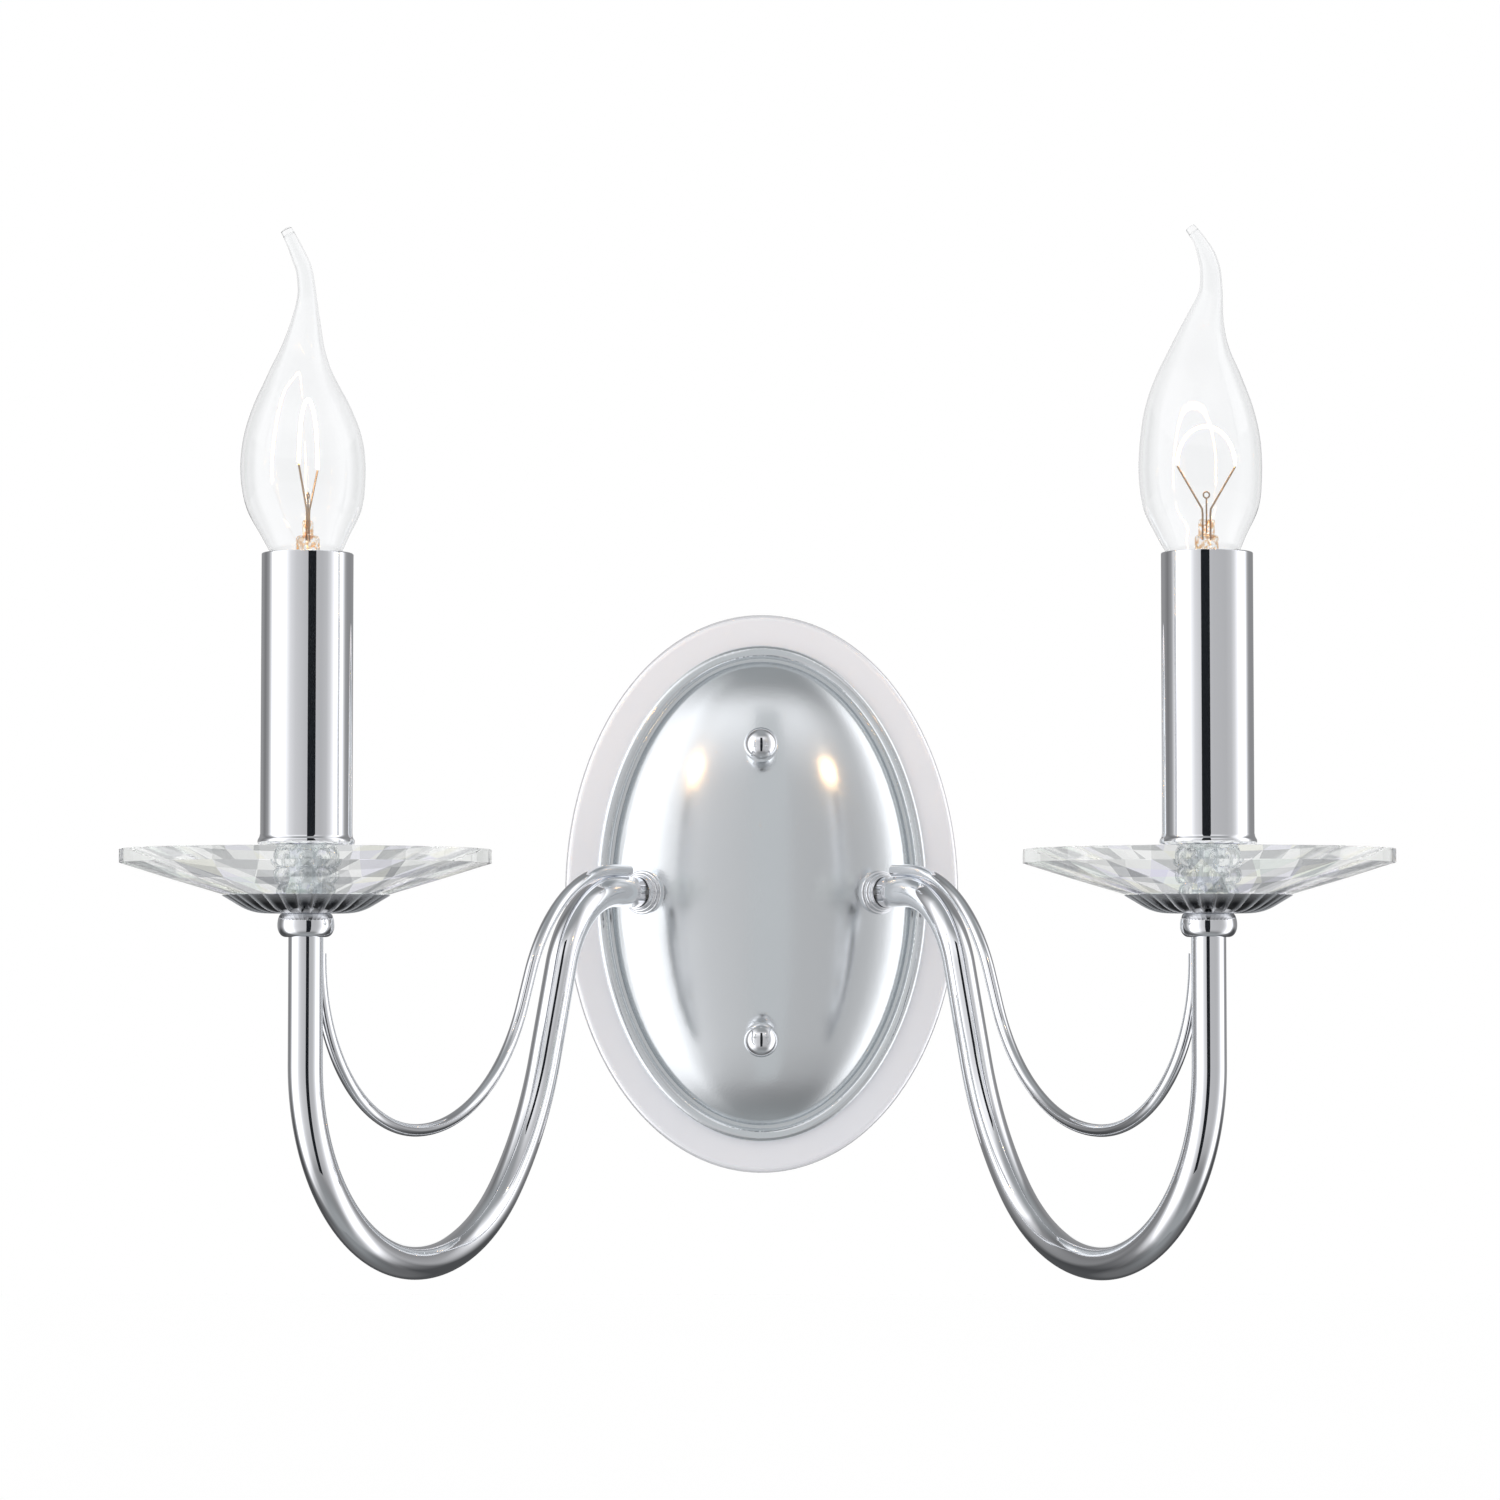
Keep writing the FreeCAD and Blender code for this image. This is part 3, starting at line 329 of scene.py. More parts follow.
def oval_edge(name):
    """Mask that is 0 inside an upright oval round the middle of the canopy and 1 outside it."""
    group, given, made = new_group(name, "ShaderNodeTree", {
        "Half width": 0.05, "Half height": 0.08, "Softness": 0.01}, {"Mask": "Float"})
    place = add(group, "TexCoord").outputs["Object"]
    axes = add(group, "SeparateXYZ", {"Vector": place}).outputs
    across = ratio(group, axes["X"], given["Half width"])
    upward = ratio(group, axes["Z"], given["Half height"])
    reach = maths(group, "SQRT", plus(group, times(group, across, across),
                                      times(group, upward, upward)))
    past = minus(group, reach, 1.0)
    feed(group, made, {"Mask": maths(group, "DIVIDE", past, given["Softness"], clamp=True)})
    return group


def surface_ripple(name):
    """Slow unevenness of drawn or polished glass and of moulded plastic, and a fine grain."""
    group, given, made = new_group(name, "ShaderNodeTree", {
        "Ripple size": 0.01, "Ripple height": 0.00002, "Grain size": 0.0004, "Grain height": 0.0},
        {"Height": "Float", "Mottle": "Float"})
    place = add(group, "TexCoord").outputs["Object"]
    slow = noise(group, place, given["Ripple size"], 2.0)
    fine = noise(group, place, given["Grain size"], 1.0)
    height = plus(group, times(group, slow, given["Ripple height"]),
                  times(group, fine, given["Grain height"]))
    feed(group, made, {"Height": height, "Mottle": slow})
    return group


# Materials

def new_material(name, values):
    """A node material with a Principled shader."""
    material = bpy.data.materials.new(name)
    material.use_nodes = True
    tree = material.node_tree
    tree.nodes.clear()
    shader = add(tree, "BsdfPrincipled", values)
    add(tree, "OutputMaterial", {"Surface": shader.outputs["BSDF"]})
    return material, tree, shader


def bumped(tree, shader, height):
    bump = add(tree, "Bump", {"Height": height, "Distance": 1.0})
    feed(tree, shader.inputs, {"Normal": bump.outputs["Normal"]})


def let_through(tree, shader, share, tint=(1, 1, 1)):
    """Lets a share of the light straight through a surface."""
    clear = add(tree, "BsdfTransparent", {"Color": tint}).outputs["BSDF"]
    mix = add(tree, "MixShader", {0: share, 1: shader.outputs["BSDF"], 2: clear})
    feed(tree, tree.nodes["Material Output"].inputs, {"Surface": mix.outputs["Shader"]})


def metal(name, tint, haze_tint, haze=0.5, roughness=0.3, spread=0.1, haze_size=0.006,
          grain_size=0.0006, grain_height=0.0, oval=None, metallic=1.0, painted_rim_shade=0.0):
    """Plated metal. Outside an oval, given by its half width and half height, it is polished, and
    painted shade may darken its colour towards that oval from inside."""
    material, tree, shader = new_material(name, {"Metallic": metallic})
    finish = placed(tree, plated_metal, {
        "Colour": tint, "Haze colour": haze_tint, "Haze": haze, "Roughness": roughness,
        "Roughness spread": spread, "Haze size": haze_size, "Grain size": grain_size,
        "Grain height": grain_height})
    tone, gloss, relief = finish["Colour"], finish["Roughness"], finish["Height"]

    def past_oval(share, softness):
        values = {"Half width": oval[0] * share, "Half height": oval[1] * share}
        return placed(tree, oval_edge, {**values, "Softness": softness})["Mask"]

    # Painted shade: the colour darkens towards the oval's edge from inside
    if painted_rim_shade:
        start, painted_shade_tint = 0.86, (0.05, 0.055, 0.06)
        near = past_oval(start, (1 - start) / start)
        dark = times(tree, times(tree, near, near), painted_rim_shade)
        dark = times(tree, dark, minus(tree, 1.0, past_oval(1.0, 0.02)))
        tone = blended(tree, dark, tone, painted_shade_tint)
    if oval:
        polished = 0.05
        inside = minus(tree, 1.0, past_oval(1.0, 0.01))
        gloss = plus(tree, times(tree, minus(tree, gloss, polished), inside), polished)
        relief = times(tree, relief, inside)
    feed(tree, shader.inputs, {"Base Color": tone, "Roughness": gloss})
    if grain_height:
        bumped(tree, shader, relief)
    return material


def new_glass(name, tint, bend, ripple_size, ripple_height):
    """Clear glass that bends light and has a slow ripple."""
    material, tree, shader = new_material(name, {
        "Base Color": tint, "IOR": bend, "Roughness": 0.0, "Transmission Weight": 1.0})
    surface = placed(tree, surface_ripple, {
        "Ripple size": ripple_size, "Ripple height": ripple_height})
    bumped(tree, shader, surface["Height"])
    return material, tree, shader, surface["Mottle"]


def lamp_glass(name, tint):
    """Blown glass that lets the lamp's own light through."""
    material, tree, shader, _ = new_glass(name, tint, 1.5, 0.008, 0.00001)
    let_through(tree, shader, add(tree, "LightPath").outputs["Is Shadow Ray"], tint)
    return material


def glittering_glass(name, tint, warm):
    """Thin glass with warm glints of the filament's light painted into it."""
    material, tree, shader, mottle = new_glass(name, tint, 1.3, 0.0011, 0.00012)
    least, contrast, clear = 0.49, 14.0, 0.75
    # Painted light: warm glints in spots tint the light that passes through
    painted_glints = maths(tree, "MULTIPLY", minus(tree, mottle, least), contrast, True)
    let_through(tree, shader, clear, blended(tree, painted_glints, tint, warm))
    return material


def toned_crystal(name, tint):
    """Cut crystal whose facets are each lighter or darker, by the painted reflection stored on them
    as a tone. It bends light a little, and its polish shines like glass."""
    material, tree, shader = new_material(name, {
        "IOR": 1.035, "Roughness": 0.0, "Transmission Weight": 1.0, "Coat Weight": 0.3,
        "Coat IOR": 1.5, "Coat Roughness": 0.0})
    # The stored tone is the facet's painted reflection
    tone = add(tree, "Attribute", attribute_name="tone").outputs["Color"]
    streak = placed(tree, surface_ripple, {"Ripple size": 0.006})["Mottle"]
    clear = blended(tree, streak, tint, scaled(tint, 0.97))
    feed(tree, shader.inputs, {"Base Color": tinted(tree, tone, clear)})
    return material


def ribbed_metal(name, tint, painted_flute_shade):
    """Polished metal with painted shade in its flutes, which are darker than the ribs between them.
    """
    material, tree, shader = new_material(name, {"Metallic": 1.0})
    rib = add(tree, "Attribute", attribute_name="rib").outputs["Fac"]
    mottle = placed(tree, surface_ripple, {"Ripple size": 0.01, "Grain size": 0.001})["Mottle"]
    # Painted shade for the flutes, a little uneven
    shade = blended(tree, mottle, painted_flute_shade, scaled(painted_flute_shade, 1.6))
    flute_roughness, rib_roughness = 0.04, 0.44
    gloss = times(tree, rib, rib_roughness - flute_roughness)
    feed(tree, shader.inputs, {"Base Color": blended(tree, rib, shade, tint),
                               "Roughness": plus(tree, gloss, flute_roughness)})
    return material


def plastic(name, tint, shade, roughness, grain_size):
    """Moulded plastic, insulation or black glass: uneven in tone, with a fine moulded grain."""
    material, tree, shader = new_material(name, {"Roughness": roughness})
    surface = placed(tree, surface_ripple, {
        "Ripple size": 0.004, "Grain size": grain_size, "Grain height": 0.00001})
    feed(tree, shader.inputs, {"Base Color": blended(tree, surface["Mottle"], tint, shade)})
    bumped(tree, shader, surface["Height"])
    return material


def glowing(name, tint, strength):
    """Incandescent wire, a little brighter and dimmer along its length."""
    material, tree, shader = new_material(name, {"Roughness": 0.6, "Emission Strength": strength})
    mottle = placed(tree, surface_ripple, {"Ripple size": 0.004})["Mottle"]
    light = blended(tree, mottle, tint, scaled(tint, 0.8))
    feed(tree, shader.inputs, {"Emission Color": light, "Base Color": light})
    return material


finishes = {}


class SCONCE_OT_finishes(bpy.types.Operator):
    """Make the finish of every surface"""
    bl_idname = "sconce.finishes"
    bl_label = "Finishes"

    def execute(self, context):
        tints = context.scene.sconce_colours
        chrome, shade = tuple(tints.chrome), tuple(tints.chrome_shade)
        clear = tuple(tints.lamp_glass)
        finishes.update({
            "bright_chrome": metal("Bright chrome", chrome, shade, haze=0.3, roughness=0.03,
                                   spread=0.02, haze_size=0.03, grain_size=0.001),
            # The dome's colour has painted shade towards its rim
            "satin_chrome": metal("Satin chrome dome", tuple(tints.satin), shade, haze=0.3,
                                  roughness=0.17, spread=0.03, haze_size=0.02, grain_size=0.0007,
                                  grain_height=0.000012, oval=(0.0492, 0.0761), painted_rim_shade=0.12),
            "plate_chrome": metal("Satin chrome plate", tuple(tints.plate), shade, haze=0.1,
                                  roughness=0.5, spread=0.04, haze_size=0.05, grain_size=0.0008,
                                  grain_height=0.000002, oval=(0.0632, 0.0901), metallic=0.5),
            "zinc_steel": metal("Zinc plated steel", (0.62, 0.63, 0.64), (0.5, 0.48, 0.42),
                                roughness=0.35, grain_height=0.00001),
            "brass": metal("Brass", (0.78, 0.58, 0.27), (0.5, 0.36, 0.2), grain_height=0.00001),
            "nickel_cap": metal("Nickel plated cap", (0.72, 0.7, 0.66), (0.6, 0.56, 0.5), haze=0.4,
                                roughness=0.25),
            "solder": metal("Solder", (0.6, 0.6, 0.6), (0.4, 0.4, 0.4), roughness=0.4,
                            haze_size=0.002, grain_height=0.00002),
            "lamp_wire": metal("Lamp wire", (0.40, 0.30, 0.21), (0.26, 0.19, 0.14),
                               haze_size=0.002),
            "white_plastic": plastic("White plastic", (0.82, 0.82, 0.8), (0.76, 0.76, 0.74), 0.35,
                                     0.0005),
            "black_plastic": plastic("Black plastic", (0.025, 0.025, 0.027),
                                     (0.015, 0.015, 0.016), 0.5, 0.0005),
            "lead_insulation": plastic("Lead insulation", (0.72, 0.68, 0.62), (0.62, 0.58, 0.52),
                                       0.5, 0.0003),
            "black_glass": plastic("Black glass", (0.012, 0.012, 0.014), (0.008, 0.008, 0.01),
                                   0.1, 0.002),
            "crystal": new_glass("Cut crystal", tuple(tints.crystal), 1.54, 0.02, 0.000004)[0],
            "dish_crystal": toned_crystal("Cut crystal dish", tuple(tints.dish)),
            "stem_glass": glittering_glass("Lamp stem", clear, tuple(tints.glitter)),
            "pan_chrome": ribbed_metal("Fluted chrome", chrome, tuple(tints.flutes)),
            "lamp_glass": lamp_glass("Lamp glass", clear),
            "filament": glowing("Glowing filament", tuple(tints.glow), tints.glow_strength),
        })
        return {"FINISHED"}


# Meshes

def add_piece(side, name, node, mesh, slot, body="fitting", sharp=35):
    """Turns a mesh into a finished piece on a body, which stands for one CAD node."""
    mesh.name = side + "_" + name
    mesh.shade_smooth()
    mesh.set_sharp_from_angle(angle=math.radians(sharp))
    if not mesh.materials:
        mesh.materials.append(finishes[slot])
    piece = bpy.data.objects.new(mesh.name, mesh)
    bpy.context.scene.collection.objects.link(piece)
    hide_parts(side + "_" + node)
    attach(piece, body)
    return piece


def shares(count):
    """Even steps from 0 to 1."""
    return [step / count for step in range(count + 1)]


def round_axis(radius, height, turn):
    return radius * math.cos(turn), radius * math.sin(turn), height


def plain_mesh(points, faces, edges=()):
    mesh = bpy.data.meshes.new("mesh")
    mesh.from_pydata([tuple(p) for p in points], edges, faces)
    return mesh


def path_mesh(points):
    return plain_mesh(points, [], [(k, k + 1) for k in range(len(points) - 1)])


def sheet(rows):
    """Mesh of quads between rows of points, each given by its radius, height and turn."""
    width = len(rows[0])
    corners = [row * width + step for row in range(len(rows) - 1) for step in range(width - 1)]
    return plain_mesh([round_axis(*place) for row in rows for place in row],
                      [(k, k + 1, k + width + 1, k + width) for k in corners])


def closed(*meshes):
    """One mesh of several closed ones, with its faces turned outwards."""
    work = bmesh.new()
    for mesh in meshes:
        work.from_mesh(mesh)
    bmesh.ops.recalc_face_normals(work, faces=work.faces)
    work.to_mesh(meshes[0])
    work.free()
    return meshes[0]


def ringed(rings, around):
    """Closed mesh through rings, each a centre, a heading and a radius, and from the last ring
    back to the first. A ring without a radius is a point."""
    side = Vector((0, 1, 0))
    points, loops, faces = [], [], []
    for centre, heading, radius in rings:
        out = side.cross(heading).normalized()
        loop = range(len(points), len(points) + (around if radius > 1e-7 else 1))
        loops.append(loop)
        for step in range(len(loop)):
            turn = FULL_TURN * step / around
            points.append(centre + (out * math.cos(turn) + side * math.sin(turn)) * radius)
    for low, high in zip(loops, loops[1:] + loops[:1]):
        for step in range(around):
            corners = dict.fromkeys((low[step % len(low)], low[(step + 1) % len(low)],
                                     high[(step + 1) % len(high)], high[step % len(high)]))
            if len(corners) > 2:
                faces.append(list(corners))
    return closed(plain_mesh(points, faces))


def turned(outline, centre, around=128):
    """Closed mesh of an outline turned round an upright axis."""
    return ringed([(centre + UP * height, UP, radius) for radius, height in outline], around)


def rounded(corners, steps=6):
    """Points of an outline whose corners are (radius, height) or (radius, height, rounding)."""
    points = []
    for index, (across, up, *rounding) in enumerate(corners):
        here = Vector((across, up))
        if not rounding:
            points.append(here)
            continue
        back, ahead = [(Vector(corners[near][:2]) - here).normalized()
                       for near in (index - 1, index + 1)]
        half = back.angle(ahead) / 2
        centre = here + (back + ahead).normalized() * (rounding[0] / math.sin(half))
        start, end = [here + way * (rounding[0] / math.tan(half)) - centre for way in (back, ahead)]
        turn = start.angle_signed(end)
        points += [centre + Matrix.Rotation(-turn * share, 2) @ start for share in shares(steps)]
    return points


# Geometry Nodes

def first_output(tree, kind, inputs=(), **settings):
    return add(tree, kind, inputs, **settings).outputs[0]


def new_tree(name, inputs):
    return new_group(name, "GeometryNodeTree", {
        "Geometry": "Geometry", **inputs, "Material": "Material"}, {"Geometry": "Geometry"})


def finished(tree, geometry, given, made):
    """Ends a tree with its geometry made real, in its material."""
    real = first_output(tree, "RealizeInstances", {"Geometry": geometry})
    inputs = {"Geometry": real, "Material": given["Material"]}
    feed(tree, made, {"Geometry": first_output(tree, "SetMaterial", inputs)})
    return tree


def swept(tree, path, sides, radius, fill):
    """Round bar along a curve."""
    ring = first_output(tree, "CurvePrimitiveCircle", {"Resolution": sides, "Radius": radius})
    inputs = {"Curve": path, "Profile Curve": ring, "Fill Caps": fill}
    return first_output(tree, "CurveToMesh", inputs)


def bar_along_a_path(name):
    """A round bar along a path of edges."""
    tree, given, made = new_tree(name, {"Radius": 0.005, "Sides": 48, "Fill ends": True})
    path = first_output(tree, "MeshToCurve", {"Mesh": given["Geometry"]})
    whole = swept(tree, path, given["Sides"], given["Radius"], given["Fill ends"])
    return finished(tree, whole, given, made)


def coil_round_a_path(name):
    """A wire wound round a path of edges."""
    tree, given, made = new_tree(name, {"Turns": 40, "Steps per turn": 12, "Coil radius": 0.0004,
                                        "Wire radius": 0.0001})
    path = first_output(tree, "MeshToCurve", {"Mesh": given["Geometry"]})
    count = plus(tree, times(tree, given["Turns"], given["Steps per turn"]), 1)
    fine = first_output(tree, "ResampleCurve", {"Curve": path, "Count": count})
    done = times(tree, first_output(tree, "SplineParameter"), given["Turns"])
    inputs = {"Vector": first_output(tree, "InputNormal"), "Angle": times(tree, done, FULL_TURN),
              "Axis": first_output(tree, "InputTangent")}
    out = {0: first_output(tree, "VectorRotate", inputs), "Scale": given["Coil radius"]}
    offset = first_output(tree, "VectorMath", out, operation="SCALE")
    wound = first_output(tree, "SetPosition", {"Geometry": fine, "Offset": offset})
    return finished(tree, swept(tree, wound, 8, given["Wire radius"], True), given, made)


def repeat_round_an_axis(name):
    """Copies of a sector, set round an upright axis and merged where they meet."""
    tree, given, made = new_tree(name, {"Count": 12, "Centre": "Vector",
                                        "Merge distance": 0.000005})
    inputs = {"Count": given["Count"], "Start Location": given["Centre"], "Offset": (0, 0, 0)}
    dots = first_output(tree, "MeshLine", inputs)
    index = first_output(tree, "InputIndex")
    turn = ratio(tree, times(tree, index, FULL_TURN), given["Count"])
    inputs = {"Points": dots, "Instance": given["Geometry"],
              "Rotation": first_output(tree, "CombineXYZ", {"Z": turn})}
    copies = first_output(tree, "InstanceOnPoints", inputs)
    real = first_output(tree, "RealizeInstances", {"Geometry": copies})
    inputs = {"Geometry": real, "Distance": given["Merge distance"]}
    return finished(tree, first_output(tree, "MergeByDistance", inputs), given, made)


def grown(mesh, maker, slot, values):
    """Plain mesh that Geometry Nodes make of a start mesh, with the tree's values by name."""
    tree = shared(maker)
    values = {**values, "Material": finishes[slot]}
    start = bpy.data.objects.new("start", mesh)
    bpy.context.scene.collection.objects.link(start)
    modifier = start.modifiers.new(tree.name, "NODES")
    modifier.node_group = tree
    for socket in tree.interface.items_tree:
        if socket.in_out == "INPUT" and socket.name in values:
            modifier[socket.identifier] = values[socket.name]
    start.update_tag()
    graph = bpy.context.evaluated_depsgraph_get()
    made = bpy.data.meshes.new_from_object(start.evaluated_get(graph), depsgraph=graph)
    start.modifiers.clear()
    bpy.data.objects.remove(start)
    return made


def bar(points, radius, sides, slot, fill=True):
    return grown(path_mesh(points), bar_along_a_path, slot, {
        "Radius": radius, "Sides": sides, "Fill ends": fill})


def repeated(sector, count, centre, slot):
    return closed(grown(sector, repeat_round_an_axis, slot, {"Count": count, "Centre": centre}))


# Where things stand

def cup_centre(side):
    """Foot of the axis that a side's cup and lamp stand on."""
    low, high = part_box(side + "_knuckle")
    return Vector(((low.x + high.x) / 2, (low.y + high.y) / 2, 0))


def heights(node):
    low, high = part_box(node)
    return low.z, high.z


class SCONCE_OT_fittings(bpy.types.Operator):
    """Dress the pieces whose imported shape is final: canopy, screws, terminals, holders, sleeves"""
    bl_idname = "sconce.fittings"
    bl_label = "Canopy and fittings"

    def execute(self, context):
        slots = {part["node"]: part["material_slot"] for part in frame["record"]["subparts"]}
        slots["back_plate"] = "plate_chrome"
        for name, node in frame["nodes"].items():
            node.data.materials.clear()
            node.data.materials.append(finishes[slots[name]])
        return {"FINISHED"}


# Arms

def bend_path(start, steps, finest=math.radians(1.5)):
    """Points of a bar that sets out along +X and rises along +Y. Each step is a straight run, then
    a bend of a radius and an angle, which is positive where it bends down."""
    points = [Vector(start)]
    heading = 0.0
    for run, radius, turn in steps:
        if run > 0:
            points.append(points[-1] + Vector((math.cos(heading), math.sin(heading))) * run)
        reach = math.copysign(radius, -turn)
        centre = points[-1] + Vector((-math.sin(heading), math.cos(heading))) * reach
        for share in shares(math.ceil(abs(turn) / finest))[1:]:
            now = heading - turn * share
            points.append(centre + Vector((math.sin(now), -math.cos(now))) * reach)
        heading -= turn
    return points


class SCONCE_OT_arms(bpy.types.Operator):
    """Bend the two arms and the accent rods that follow them"""
    bl_idname = "sconce.arms"
    bl_label = "Arms and accent rods"

    def execute(self, context):
        size = context.scene.sconce_arms
        arm = bend_path((-size.tube_tail, 0), [
            (size.tube_tail + size.lead, size.bend_radius, size.drop_angle),
            (size.drop, size.sweep_radius, -size.sweep_angle),
            (0, size.bowl_radius, size.sweep_angle - size.drop_angle - math.pi / 2)])
        reach, foot = arm[-1]
        spacing = size.tube_radius + size.rod_radius + size.seat_play
        run = reach - spacing - size.rod_start - size.rod_lead - size.rod_bowl_radius
        fall = spacing + size.rod_bowl_radius + size.rod_tail + size.rod_top_gap - foot - size.leg
        slope = 2 * math.atan(fall / (run + size.rod_drop))
        sweep = (run - size.rod_drop * math.cos(slope)) / math.sin(slope) - size.rod_bend_radius
        rod = bend_path((size.rod_start, spacing), [
            (size.rod_lead, size.rod_bend_radius, slope), (size.rod_drop, sweep, -slope),
            (0, size.rod_bowl_radius, -math.pi / 2)])
        rod.append(rod[-1] + Vector((0, size.rod_tail)))
        last_run = 0.0003
        for side, hand in SIDES.items():
            out = Vector((hand * math.cos(size.direction), -math.sin(size.direction), 0))
            root = cup_centre(side) - out * reach
            top = heights(side + "_arm_tube")[1]
            # The short last run keeps the shading of the long leg straight
            leg = [Vector((reach, top - last_run)), Vector((reach, top))]
            tube = bar([root + out * p.x + UP * p.y for p in arm + leg], size.tube_radius, 64,
                       "bright_chrome", False)
            piece = add_piece(side, "curved_arm", "arm_tube", tube, "bright_chrome", sharp=60)
            wall = piece.modifiers.new("Wall", "SOLIDIFY")
            wall.thickness = size.tube_wall
            wall.offset = -1
            slim = bar([root + out * p.x + UP * p.y for p in rod], size.rod_radius, 32,
                       "bright_chrome")
            add_piece(side, "slim_rod", "accent_rod", slim, "bright_chrome", sharp=60)
        return {"FINISHED"}


# Knuckles, pans and seats

def knuckle_outline(size, low, high):
    """Rounded bead with a flat foot and crown."""
    fullness = 0.9
    points = [(size.bore_radius, low), (size.knuckle_foot_radius, low)]
    for share in shares(24)[1:]:
        turn = math.pi / 2 * (share * 2 - 1)
        end = size.knuckle_foot_radius if turn < 0 else size.knuckle_crown_radius
        points.append((end + (size.knuckle_radius - end) * math.cos(turn) ** fullness,
                       (low + high) / 2 + (high - low) / 2 * math.sin(turn)))
    return points + [(size.bore_radius, high)]


def seat_outline(size, low, high):
    """Dished ring with a rounded bead at its foot, which runs up in a hollow to the sleeve."""
    play, edge, hollow = 0.00004, 0.00006, 2.2
    first_turn, last_turn = math.radians(-90), math.radians(45)
    inner = size.sleeve_radius + play
    swell, rise = size.seat_bead_swell, size.seat_bead_rise
    points = [(size.wide_bore_radius, low)]
    for share in shares(12):
        turn = first_turn + (last_turn - first_turn) * share
        points.append((size.seat_bead_radius - swell + swell * math.cos(turn),
                       low + rise * (1 + math.sin(turn))))
    across, up = points[-1]
    points += [(across + (inner + edge - across) * (1 - (1 - share) ** hollow),
                up + (high - up) * share) for share in shares(8)[1:]]
    inside = low + size.seat_gauge
    return points + [(inner, high), (inner, inside), (size.wide_bore_radius, inside)]


def pan_sector(size, low, high):
    """One flute of the pan, from rib to rib, with the plain inside above it. The rib value is 1 on
    the ribs and falls to 0 in the flute, and sets where the flute's painted shade falls."""
    gauge, bend, start = size.pan_gauge, size.pan_bend_radius, size.flute_start
    under = rounded([(size.wide_bore_radius, low), (size.pan_bowl_radius, low, bend),
                     (size.pan_radius, high)], 16)
    over = rounded([(size.wide_bore_radius, low + gauge),
                    (size.pan_bowl_radius - gauge / 2, low + gauge, bend - gauge),
                    (size.pan_radius - gauge, high)], 16)
    under[1:1] = [Vector((start, low))]
    over[1:1] = [Vector((start, low + gauge))]
    pitch = FULL_TURN / size.pan_flutes
    across = shares(12)
    last = len(under) - 1
    # The flutes sink quickly over the first third of their length, then slowly to the rim
    quick, shallow = 3, 0.45
    rows, ribs = [], []
    for index, point in enumerate(under):
        along = (under[min(index + 1, last)] - under[max(index - 1, 0)]).normalized()
        inward = Vector((-along.y, along.x))
        share = max(0.0, (point.x - start) / (size.pan_radius - start))
        depth = size.flute_depth * min(1.0, share * quick) * (shallow + (1 - shallow) * share)
        row = []
        for step in across:
            off = step * 2 - 1
            drop = size.scallop * (1 - off * off) if index == last else 0.0
            place = point + inward * depth * math.sqrt(1 - off * off) - Vector((0, drop))
            row.append((*place, pitch * (step - 0.5)))
            # Close to where the flutes begin, the painted shade fades out
            plain = 1 - (place.x - start) / size.flute_fade
            ribs.append(max(off ** 4, plain, 0.0) if 1 < index < last else 1.0)
        rows.append(row)
    rows += [[(*place, pitch * (step - 0.5)) for step in across] for place in reversed(over)]
    mesh = sheet(rows + rows[:1])
    ribs += [1.0] * (len(mesh.vertices) - len(ribs))
    mesh.attributes.new("rib", "FLOAT", "POINT").data.foreach_set("value", ribs)
    return mesh


class SCONCE_OT_cups(bpy.types.Operator):
    """Turn the knuckles and the sleeves' seats, and press the fluted pans"""
    bl_idname = "sconce.cups"
    bl_label = "Knuckles, pans and seats"

    def execute(self, context):
        size = context.scene.sconce_cups
        for side in SIDES:
            centre = cup_centre(side)
            mesh = turned(knuckle_outline(size, *heights(side + "_knuckle")), centre)
            add_piece(side, "bead_knuckle", "knuckle", mesh, "bright_chrome")
            mesh = turned(seat_outline(size, *heights(side + "_sleeve_seat")), centre)
            add_piece(side, "beaded_seat", "sleeve_seat", mesh, "bright_chrome")
            sector = pan_sector(size, *heights(side + "_fluted_pan"))
            mesh = repeated(sector, size.pan_flutes, centre, "pan_chrome")
            add_piece(side, "gadroon_pan", "fluted_pan", mesh, "bright_chrome", sharp=40)
        return {"FINISHED"}


# Crystal

def dish_sector(size, low, high):
    """One facet column of the dish, with its part of the band, the lip, the well and the bore."""
    pitch = FULL_TURN / size.dish_facets
    band = high - size.dish_band
    run = size.dish_radius - size.dish_foot_radius
    levels = [(size.dish_foot_radius, low, 0.0)]
    for share, lean in ((0.36, 0.5), (0.68, 0.0)):
        swell = size.dish_bulge * math.sin(math.pi * share)
        levels.append((size.dish_foot_radius + run * share, low + (band - low) * share - swell,
                       lean))
    levels += [(size.dish_radius, band, 0.5), (size.dish_radius, high, 0.5)]
    points, faces = [], []

    def corner(radius, height, step):
        points.append(round_axis(radius, height, step * pitch))
        return len(points) - 1

    def at(level, step):
        radius, height, lean = levels[level]
        return corner(radius, height, step + lean)

    for level in range(3):
        late = 1 if levels[level][2] else 0
        faces.append([at(level, 0), at(level, 1), at(level + 1, late)])
        faces.append([at(level, 1 - late), at(level + 1, 1), at(level + 1, 0)])
    faces.append([at(3, 0), at(3, 1), at(4, 1), at(4, 0)])
    # The round well and bore, in finer steps
    fine, well_rounding = 6, 0.002
    inside = low + size.dish_floor
    well = rounded([(size.dish_radius - size.dish_lip, high),
                    (size.dish_well_radius, inside, well_rounding),
                    (size.bore_radius, inside), (size.bore_radius, low)], 8)
    rows = [[corner(*place, 0.5 + share) for share in shares(fine)] for place in well]
    for first, second in zip(rows, rows[1:]):
        faces += [[first[k], first[k + 1], second[k + 1], second[k]] for k in range(fine)]
    faces.append([at(4, 0), at(4, 1)] + rows[0][::-1])
    foot = [corner(size.bore_radius, low, share) for share in shares(fine)]
    faces.append([at(0, 0), at(0, 1)] + foot[::-1])
    return plain_mesh(points, faces)
